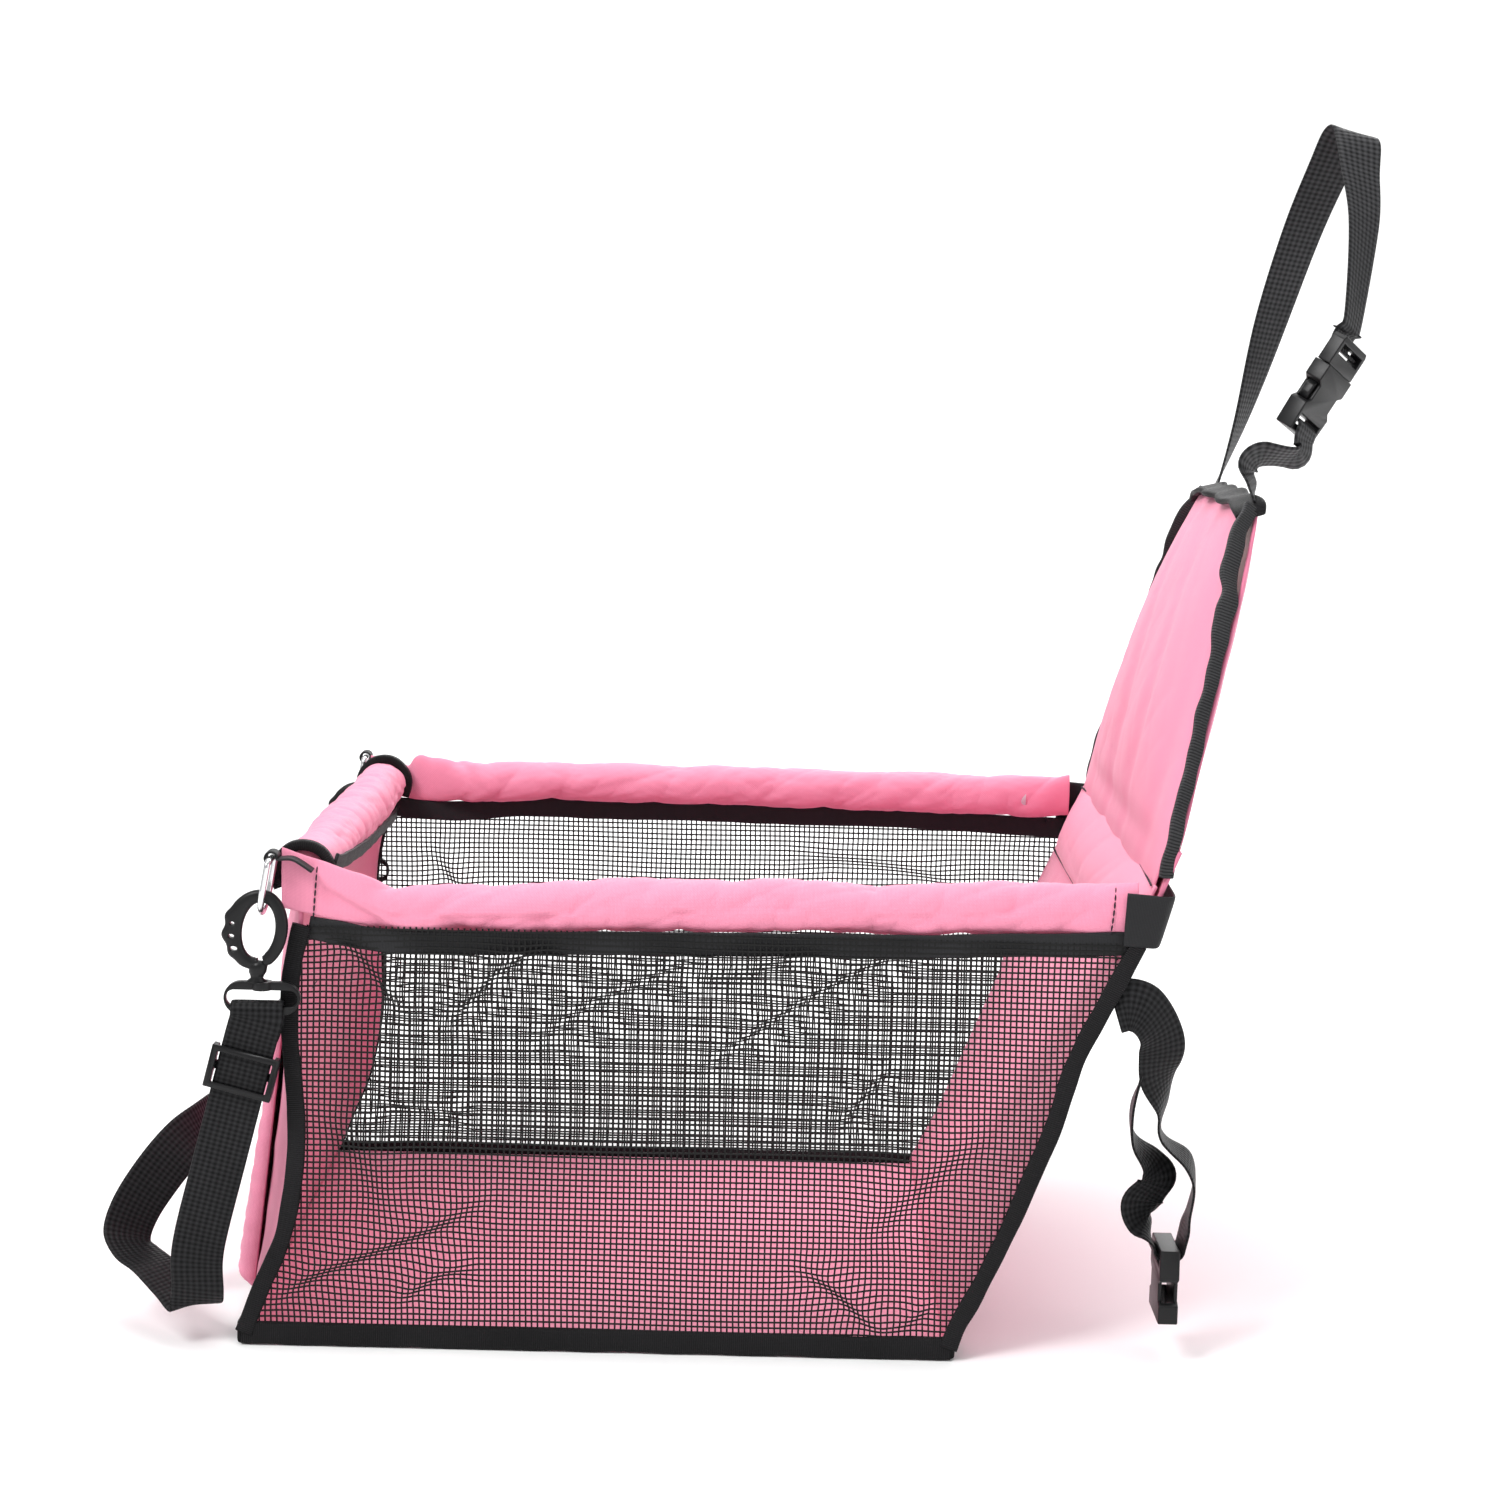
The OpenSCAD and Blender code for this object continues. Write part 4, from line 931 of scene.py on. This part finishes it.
# ---- backrest: a padded board with gathered bindings ----
def rest_width(l):
    """Half the backrest's width at length l above the fold line."""
    return curve(l, [-4, 0, 40, 80, 120, 145, 156, 163], [157, 157, 141, 124, 107, 91, 83, 76])


def on_rest(l, y, out):
    """Points of the backrest: l mm up from its fold line, y across, and out behind its front plane."""
    P = FOLD + l[..., None] * REST_UP + out[..., None] * REST_OUT
    P[..., 1] += y
    return P


def rest_pad():
    """The padded face: a closed crowned form. Across, a third-power pillow; up, a soft rise at both ends; pressed with
    upright pleats that fan from the fold line."""
    u = np.linspace(-1, 1, 170)[:, None]
    v = np.linspace(0, 1, 150)[None, :]
    u, v = np.broadcast_arrays(u, v)
    l = -20 + 183 * v
    y = u * (rest_width(np.maximum(l, 0)) - 2 + np.minimum(l, 0) * 0.1)
    rise = np.clip(np.sin(np.pi * np.clip(v * 0.985 + 0.012, 0, 1)), 0, 1) ** 0.45
    pillow = np.clip(1 - np.abs(u) ** 2.6, 0, 1) ** 0.7
    crown = (5 + 10.5 * curve(l, [-20, 0, 30, 90, 140, 163], [0.55, 0.8, 1, 1.05, 0.95, 0.8])) * rise * pillow
    fan = u * 1.9 + 0.25 * np.sin(v * 4 + u)
    pleat = (0.5 - 0.5 * np.cos(2 * np.pi * fan)) ** 4 * (3.4 - 2.0 * v)
    pleat = pleat + 2.4 * crumple(u * 60, l, 101, 50, 3.5, 0.35)
    pleat = pleat + 1.2 * crumple(u * 110, l, 102, 24, 3, 0.9) * (1 - v * 0.6)
    low_fold = 3.2 * np.exp(-((l + 2) / 7) ** 2) * pillow
    out = -4.6 - crown + (pleat + low_fold) * pillow * rise
    return on_rest(l, y, out), on_rest(l, y, np.full(l.shape, -3.8))


def closed_pad(name, P, Q):
    """Two grids with the same edges sewn into one closed form."""
    nu, nv = P.shape[:2]
    count = nu * nv
    i, j = np.arange(nu - 1)[:, None], np.arange(nv - 1)[None, :]
    a = np.stack([i * nv + j, (i + 1) * nv + j, (i + 1) * nv + j + 1, i * nv + j + 1], -1).reshape(-1, 4)
    rim = np.concatenate([np.arange(nu) * nv, (nu - 1) * nv + np.arange(1, nv), (np.arange(nu - 1)[::-1]) * nv + nv - 1,
                          np.arange(1, nv - 1)[::-1]])
    after = np.roll(rim, -1)
    side = np.stack([rim, rim + count, after + count, after], 1)
    quads = np.vstack([a, a[:, ::-1] + count, side])
    corners = np.vstack([P.reshape(-1, 3), Q.reshape(-1, 3)])
    U, V = lengths(P, 0, False), lengths(P, 1, False)
    flat = grid(U[:, None], V[None, :]).reshape(-1, 2)
    flat = np.vstack([flat, flat])
    uv = flat[quads]
    uv[-len(side):, 1:3, 0] += 2
    return build(name, corners, quads, uv)


P, Q = rest_pad()
pad = closed_pad("backrest_pad", P, Q)
dress(pad, PINK, "pink_fabric", "backrest", "backrest_front")


def rest_back():
    """The backrest's rear cloth: a sheet stretched over the board with a slight belly."""
    u, v = np.broadcast_arrays(np.linspace(-1, 1, 120)[:, None], np.linspace(0, 1, 90)[None, :])
    l = -2 + 165 * v
    y = u * (rest_width(np.maximum(l, 0)) - 1.5)
    hold = (1 - np.abs(u) ** 8) * np.sin(np.pi * np.clip(v, 0.02, 0.98)) ** 0.4
    out = 0.9 + 5.7 * hold - 2.2 * crumple(y, l, 111, 60, 2.6, 1.2) * hold
    dress(thicken(surface("backrest_rear_cloth", on_rest(l, y, out)), 1.8, 0), PINK, "pink_fabric", "backrest",
          "backrest_back")
    for sign in (-1, 1):
        l = np.array([-13, -4, 10, 30, 55, 80, 105, 122, 135, 148, 158, 164.0])
        y = sign * (rest_width(np.maximum(l, 0)) + 0.6)
        out = np.array([-1, -2.5, -3, -3, -3.2, -3.6, -4.4, -6, -7, -6.6, -4.6, -3.0])
        pts = on_rest(l, y, out)
        across = unit(REST_OUT[None, :] + np.array([0, -sign * 0.35, 0])[None, :]) + 0 * pts

        def gather(s, sign=sign):
            """Tape wider and wavier towards the top, where it is gathered."""
            k = np.clip((s - 104) / 40, 0, 1) * np.clip((180 - s) / 30, 0.5, 1)
            k = k * (0.8 if sign < 0 else 0.5)
            return (0.7 + 0.05 * np.sin(s / 3.1) + k * (0.45 + 0.22 * np.sin(s / 6.3) + 0.12 * np.sin(s / 2.7 + 1)),
                    0.4 * np.sin(s / 4.0) + k * 1.0 * np.sin(s / 6.1 + 0.8),
                    0.4 * np.sin(s / 7.3) + k * 0.7 * np.sin(s / 4.3))

        tape = band(f"backrest_edge_tape_{'near' if sign < 0 else 'far'}", pts, across, 9.5, 4.2, step=0.9, soft=0.6,
                    wave=gather)
        dress(tape, GATHERED, "binding_tape", "backrest", "backrest_side_bindings")
    y = np.array([-79, -70, -40, 0, 40, 66, 76.0])
    l = np.array([160, 164.0, 166, 166.5, 166, 164, 160])
    out = np.array([-2, -4, -5.5, -5.5, -5.5, -4, -2.0])
    pts = on_rest(l, y, out)
    across = np.tile(REST_OUT + 0.55 * REST_UP, (7, 1))
    tape = band("backrest_top_tape", pts, across, 15, 3.6, step=0.9, soft=0.6,
                wave=lambda s: (1 + 0.16 * np.sin(s / 6.2), 0.6 * np.sin(s / 5.1), 0.9 * np.sin(s / 8.4)))
    dress(tape, BINDING, "binding_tape", "backrest", "backrest_top_binding")


rest_back()

# ---- belt across the back of the rim ----
def rear_belt():
    """The belt round the back of the rim: flat tape that leaves the near sleeve, turns the corner and runs across."""
    for sign in (-1, 1):
        rise = 0 if sign < 0 else 4
        pts = np.array([[246, sign * 162.6, 218.0 + rise], [254, sign * 163.0, 217.6 + rise],
                        [261, sign * 162.6, 217 + rise], [264.5, sign * 160.5, 216.8 + rise],
                        [266.2, sign * 156, 216.6], [267.2, sign * 140, 216.6], [268, sign * 80, 217],
                        [268.4, sign * 0.5, 217]])
        across = np.tile([0.28, 0, 1.0], (len(pts), 1))
        tape = band(f"rear_belt_{'near' if sign < 0 else 'far'}", pts, across, 25.5, 1.7, step=1.0)
        dress(tape, SMOOTH_TAPE, "binding_tape", carrier, "rear_belt")


rear_belt()

# ---- webbing straps: the same routes as the frame ----
WEB_WIDE, WEB_THICK = 25, 1.5


def place(v, turn, lean):
    """A point in a buckle's own frame turned about its length and then leaned."""
    t, k = math.radians(turn), math.radians(lean)
    x, y = v[0] * math.cos(t) - v[1] * math.sin(t), v[0] * math.sin(t) + v[1] * math.cos(t)
    return np.array([x * math.cos(k) + v[2] * math.sin(k), y, v[2] * math.cos(k) - x * math.sin(k)])


REST_TOP = FOLD + 167.05 * REST_UP
BUCKLE_TURN, BUCKLE_LEAN = -125, 31
LONG_ROOT, SHORT_ROOT = REST_TOP + [0, 60, 0], REST_TOP + [0, -62, 0]
BUCKLE = SHORT_ROOT + [38.7, 11, 64.6]
end = [BUCKLE + place([0, -q, r], BUCKLE_TURN, BUCKLE_LEAN) for q,
       r in ((6.5, 26), (6, 19), (5.5, 14), (3.6, 10.2), (-1.6, 9.75))]
points = [LONG_ROOT + q for q in np.array([[0, 0, 0], [12, -2, 38], [25, -8, 92], [37, -20, 138], [47, -36, 170],
                                           [52, -47, 183],
                                           [55, -57, 182], [55, -68, 166], [55, -84, 138]])] + end
wide = -place([1, 0, 0], BUCKLE_TURN, BUCKLE_LEAN)
across = [[0.1, 1, 0], [0.45, 0.9, 0], [0.85, 0.6, 0], [0.95, 0.4, 0], [1, 0.2, 0], [1, 0, -0.25], [1, 0.05, -0.25],
          [0.9, 0.45, -0.1], [0.7, 0.7, 0]]
strap = band("headrest_webbing", np.array(points), np.array(across + [wide] * 5), WEB_WIDE, WEB_THICK)
dress(strap, WEB, "webbing", "headrest_strap", "headrest_strap")
end = [BUCKLE + place([0, q, r], BUCKLE_TURN, BUCKLE_LEAN) for q,
       r in ((9, -45), (6.8, -36), (4.6, -30.4), (-1.8, -29.75))]
points = [SHORT_ROOT + q for q in np.array([[0, 0, 0], [-1, 0, 8], [-3.5, 1, 16.0], [3, 2, 22]])] + end
strap = band("headrest_short_webbing", np.array(points),
             np.array([[0.1, 1, 0], [0.35, 0.95, -0.1], [0.5, 0.85, -0.3], [0.5, 0.8, -0.4]] + [wide] * 4), WEB_WIDE,
             WEB_THICK)
dress(strap, WEB, "webbing", "headrest_strap", "headrest_short_strap")

HANG_Y = 168.0
RING_X, RING_TOP = front_at(WALL_H) - 6.8, 239.0
HOOK = np.array([RING_X - 4.5, -HANG_Y, RING_TOP - 35])
EYE_Z = HOOK[2] - 32
RUN = np.array([HOOK[0] - 5, -HANG_Y - 4.2, EYE_Z - 20])
RUN_LEAN = math.radians(14)
WRAP_X, BAR_Z = HOOK[0] - 2, EYE_Z - 6
down = np.array([-math.sin(RUN_LEAN), 0, -math.cos(RUN_LEAN)])
reach = (RUN[2] - 60) / math.cos(RUN_LEAN)
turns = np.radians(np.arange(0, 181, 30))
near_run = np.vstack([[[RUN[0], -HANG_Y + 4.2, RUN[2] + 2], [WRAP_X - 0.3, -HANG_Y + 4.2, BAR_Z - 4]],
                      np.stack([WRAP_X + 0 * turns, -HANG_Y + 4.2 * np.cos(turns), BAR_Z + 4.2 * np.sin(turns)], 1),
                      [[WRAP_X - 0.3, RUN[1], BAR_Z - 4], RUN, RUN + 30 * down, RUN + 60 * down, RUN + reach * down]])
far_run = near_run[::-1] * [1, -1, 1]
crossing = np.array([[-2.5, -172, -16], [-2.5, -170, -31], [-5.5, -163, -40], [-15.5, -154, -36], [-28.5, -144, -28],
                     [-39.5, -132, -25],
                     [-46.5, -121, -20], [-43.5, -113, -8], [-33.5, -106, 8], [-23.5, -96, 20], [-16.5, -76, 24],
                     [-12.5, -40, 24],
                     [-10.5, 20, 22], [-10.5, 80, 16], [-8.5, 120, 6], [-5.5, 150, -10], [-2.5, 168, -12]])
crossing[:, [0, 2]] += near_run[-1][[0, 2]]
crossing_across = [[1, 0, -0.1], [1, 0, 0], [1, 0.25, 0.1], [0.8, 0.65, 0], [0.7, 0.75, 0], [0.7, 0.7, 0],
                   [0.85, 0.45, -0.3], [0.85, 0.25, -0.5],
                   [0.8, 0.05, -0.6], [0.7, -0.1, -0.7], [0.4, 0, -1], [0.15, 0, -1], [0, 0, -1], [-0.2, 0, -1],
                   [-0.55, 0, -0.9],
                   [-0.9, 0, -0.5], [-1, 0, -0.1]]
n = len(near_run)
strap = band("shoulder_webbing", np.vstack([near_run, crossing, far_run]),
             np.array([[1.0, 0, 0]] * n + crossing_across + [[-1.0, 0, 0]] * n), WEB_WIDE, WEB_THICK)
dress(strap, WEB_FINE, "webbing", "shoulder_strap", "shoulder_strap")

WAIST = np.array([back_at(168, 1.2), -147, 168])
socket = WAIST + [35, 0, -147]
out_way = np.array([[243, -159.5, 175], [250, -161, 177], [258, -160.5, 174], [264.5, -158, 165], [267, -155, 154],
                    [266.5, -152, 141],
                    [269.5, -149, 126], [268.5, -148, 114], [272.5, -147, 106], [283, -147, 97.5], [286.5, -147, 86],
                    [284.5, -147, 72]])
out_across = [[0.3, 0.1, 0.95], [0.15, 0.15, 1], [0.3, 0.3, 0.9], [0.7, 0.45, 0.55], [0.93, 0.35, 0.1], [0.8, 0.6, 0],
              [0.35, 0.93, 0],
              [0.15, 1, 0], [0.1, 1, 0], [0.2, 1, 0.1], [0.15, 1, 0], [0.1, 1, 0]]
through = [socket + [q, 0, r] for q, r in ((9, 44), (7.6, 37), (6.4, 32.6), (3, 30), (-3, 30), (-6.4, 32.6),
                                           (-7.6, 37), (-9, 42))]
back_way = np.array([[262, -147, 68], [262, -148, 78], [268, -149, 88], [265, -149, 97], [256, -149, 108],
                     [255, -149, 124], [260, -149, 141]])
back_across = [[0.65, 0.75, 0], [0.92, 0.4, 0.1], [0.85, 0.5, 0.2], [0.5, 0.85, 0.1], [0.15, 1, 0], [0.1, 1, 0],
               [0.3, 0.95, 0]]
strap = band("waist_webbing_near", np.vstack([out_way, through, back_way]),
             np.array(out_across + [[0, 1, 0]] * 7 + [[0.3, 0.95, 0]] + back_across, float), WEB_WIDE, WEB_THICK)
dress(strap, WEB_FINE, "webbing", "waist_strap_near", "waist_strap_near")
far_root = WAIST * [1, -1, 1]
plug = far_root + [-7, 0, -66]
points = [far_root + q for q in np.array([[0, 0, 0], [8, 0, 2], [14, 0, -5], [15, 0, -17]])]
points += [plug + place([0, q, r], 90, 22) for q,
           r in ((-8, 34), (-6.6, 26), (-6, 19), (-5.5, 14), (-3.6, 10.2), (1.6, 9.75))]
strap = band("waist_webbing_far", np.array(points), np.tile([0, 1.0, 0], (len(points), 1)), WEB_WIDE, WEB_THICK)
dress(strap, WEB_FINE, "webbing", "waist_strap_far", "waist_strap_far")

# ---- buckles, rings and hooks ----
for node in ("headrest_buckle_socket", "headrest_buckle_plug", "waist_buckle_socket", "waist_buckle_plug",
             "strap_adjuster"):
    rounded(node, PLASTIC, "black_plastic", 0.7, 3)
for node in ("headrest_buckle_arm_left", "headrest_buckle_arm_right", "waist_buckle_arm_left",
             "waist_buckle_arm_right"):
    rounded(node, PLASTIC, "black_plastic", 0.5, 2)
rounded("swivel_eyes", PLASTIC, "black_plastic", 1.3, 3)


def snap_hook(sign):
    """A snap hook: an oval ring leaned ten degrees, its section a rounded bar whose outer side swells into finger bumps
    on the left and thins to the right, open where the wire gate closes it; then the stem and its swivel collar."""
    turn = np.radians(np.linspace(-62, 282, 150))[:, None]
    ring = np.linspace(0, 2 * math.pi, 20, endpoint=False)[None, :]
    left = np.clip(-np.cos(turn), 0, 1) ** 2
    grip = left * np.clip(np.sin(turn) * -2 + 1.2, 0, 1)
    radial = 3.0 + 1.2 * left
    radial = np.where(np.abs(turn - turn.mean()) > math.radians(165), radial * 0.9, radial)
    c, q = np.cos(ring), np.sin(ring)
    finger = np.clip(c, 0, 1) * grip * (0.8 + 0.8 * np.cos(turn * 13))
    reach = np.sign(c) * np.abs(c) ** 0.75 * radial + 0.9 * left + finger
    x, z = (10.8 + reach) * np.cos(turn), (16.3 + reach) * np.sin(turn)
    lean = math.radians(9)
    P = grid(-161.3 + x * math.cos(lean) + z * math.sin(lean),
                                     sign * HANG_Y + np.sign(q) * np.abs(q) ** 0.75 * 2.5,
                                     204.6 + z * math.cos(lean) - x * math.sin(lean))
    hoop = surface("hoop", P, closed_v=True, caps=True)
    slots = []
    for degrees, wide, tall in ((176, 1.2, 0.95), (196, 1.5, 1.1), (217, 1.9, 1.3)):
        a = math.radians(degrees)
        x0, z0 = 12.4 * math.cos(a), 17.7 * math.sin(a)
        cx, cz = -161.3 + x0 * math.cos(lean) + z0 * math.sin(lean), 204.6 + z0 * math.cos(lean) - x0 * math.sin(lean)
        depth = np.array([-5.0, 5.0])[:, None]
        slots.append(surface("slot", grid(cx + wide * np.cos(ring), sign * HANG_Y + depth, cz + tall * np.sin(ring)),
                             closed_v=True, caps=True))
    cutter = join("hook_slots", slots)
    cut = hoop.modifiers.new("slots", "BOOLEAN")
    cut.operation, cut.solver, cut.object = "DIFFERENCE", "EXACT", cutter
    bpy.context.view_layer.update()
    drilled = bpy.data.meshes.new_from_object(hoop.evaluated_get(bpy.context.evaluated_depsgraph_get()))
    hoop.modifiers.clear()
    hoop.data = drilled
    bpy.data.objects.remove(cutter)
    z = np.array([190.0, 189.4, 187.5, 184.5, 182.8, 181.6, 180.2, 179.4, 179.2])[:, None]
    r = np.array([0.4, 3.4, 4.4, 4.2, 3.3, 3.0, 4.6, 4.4, 0.4])[:, None]
    P = grid(-162.2 + (z - 180) * 0.12 + r * np.cos(ring), sign * HANG_Y + r * 0.8 * np.sin(ring), z)
    stem = surface("stem", P, closed_v=True, caps=True)
    return join(f"snap_hook_{'near' if sign < 0 else 'far'}", [hoop, stem])


def gate_wire(sign):
    """The spring gate: a thin wire bent in a narrow U across the hook's open side."""
    points = np.array([[-154.6, -0.9, 192.2], [-153.6, -1.1, 195], [-151.2, -1.1, 202], [-149.9, -0.8, 205.4],
                       [-149.6, 0, 206], [-149.9, 0.8, 205.4],
                       [-151.2, 1.1, 202], [-153.6, 1.1, 195], [-154.6, 0.9, 192.2]])
    p = even(smooth(points, 6), 0.5)
    go = unit(np.gradient(p, axis=0))
    aside = unit(np.cross(go, [0.93, 0.02, 0.36]))
    face = np.cross(go, aside)
    P = round_wire(p, aside, face, 0.55, 10)
    P[..., 1] = sign * HANG_Y + P[..., 1]
    return surface(f"gate_wire_{'near' if sign < 0 else 'far'}", P, closed_v=True, caps=True)


for label, sign in (("near", -1), ("far", 1)):
    dress(snap_hook(sign), PLASTIC, "black_plastic", "hook_" + label, "hook_" + label)
    dress(gate_wire(sign), BRIGHT, "bright_metal", "gate_" + label, "hook_gate_" + label)


def wire_rings():
    """The D-rings: a round wire closed along a straight bar, two legs and a half circle."""
    for sign in (-1, 1):
        turn = np.linspace(math.pi, 2 * math.pi, 28)
        low = RING_TOP - 25.8 + 12
        loop = np.vstack([np.stack([12 * np.cos(turn), low + 12 * np.sin(turn)], 1),
                          [[12, RING_TOP - 1.5], [10.5, RING_TOP], [-10.5, RING_TOP], [-12, RING_TOP - 1.5]]])
        loop = even(np.vstack([loop, loop[:1]]), 0.8)[:-1]
        p = np.stack([RING_X - 0.17 * (RING_TOP - loop[:, 1]), sign * HANG_Y + loop[:, 0], loop[:, 1]], 1)
        go = unit(np.roll(p, -1, 0) - np.roll(p, 1, 0))
        aside = np.tile([1.0, 0, 0], (len(p), 1))
        face = np.cross(go, aside)
        P = round_wire(p, aside, face, 1.5, 16)
        dress(surface(f"wire_ring_{'near' if sign < 0 else 'far'}", P, closed_u=True, closed_v=True), BRIGHT,
              "bright_metal", "shoulder_strap", "d_rings")


wire_rings()


def ring_tabs():
    """The tabs that hold the D-rings: tape wrapped round the ring's bar and sewn down on the corner flap."""
    for sign in (-1, 1):
        a = np.radians(np.linspace(-100, 170, 10))
        wrap = np.stack([RING_X - 3.0 * np.sin(a), np.full_like(a, sign * 166.2), RING_TOP + 3.0 * np.cos(a)], 1)
        pts = np.vstack([[[RING_X + 19, sign * 166.2, RING_TOP - 6], [RING_X + 10, sign * 166.2, RING_TOP - 0.5]],
                         wrap])
        tape = band(f"ring_tab_{'near' if sign < 0 else 'far'}", pts, np.tile([0, 1.0, 0], (len(pts), 1)), 9, 1.3,
                    step=0.6)
        dress(tape, SMOOTH_TAPE, "binding_tape", carrier, "d_ring_tabs")


ring_tabs()

for node, material in (("base_board", BOARD), ("backrest_foam", FOAM)):
    mesh = nodes[node].data
    mesh.materials.clear()
    mesh.materials.append(material)
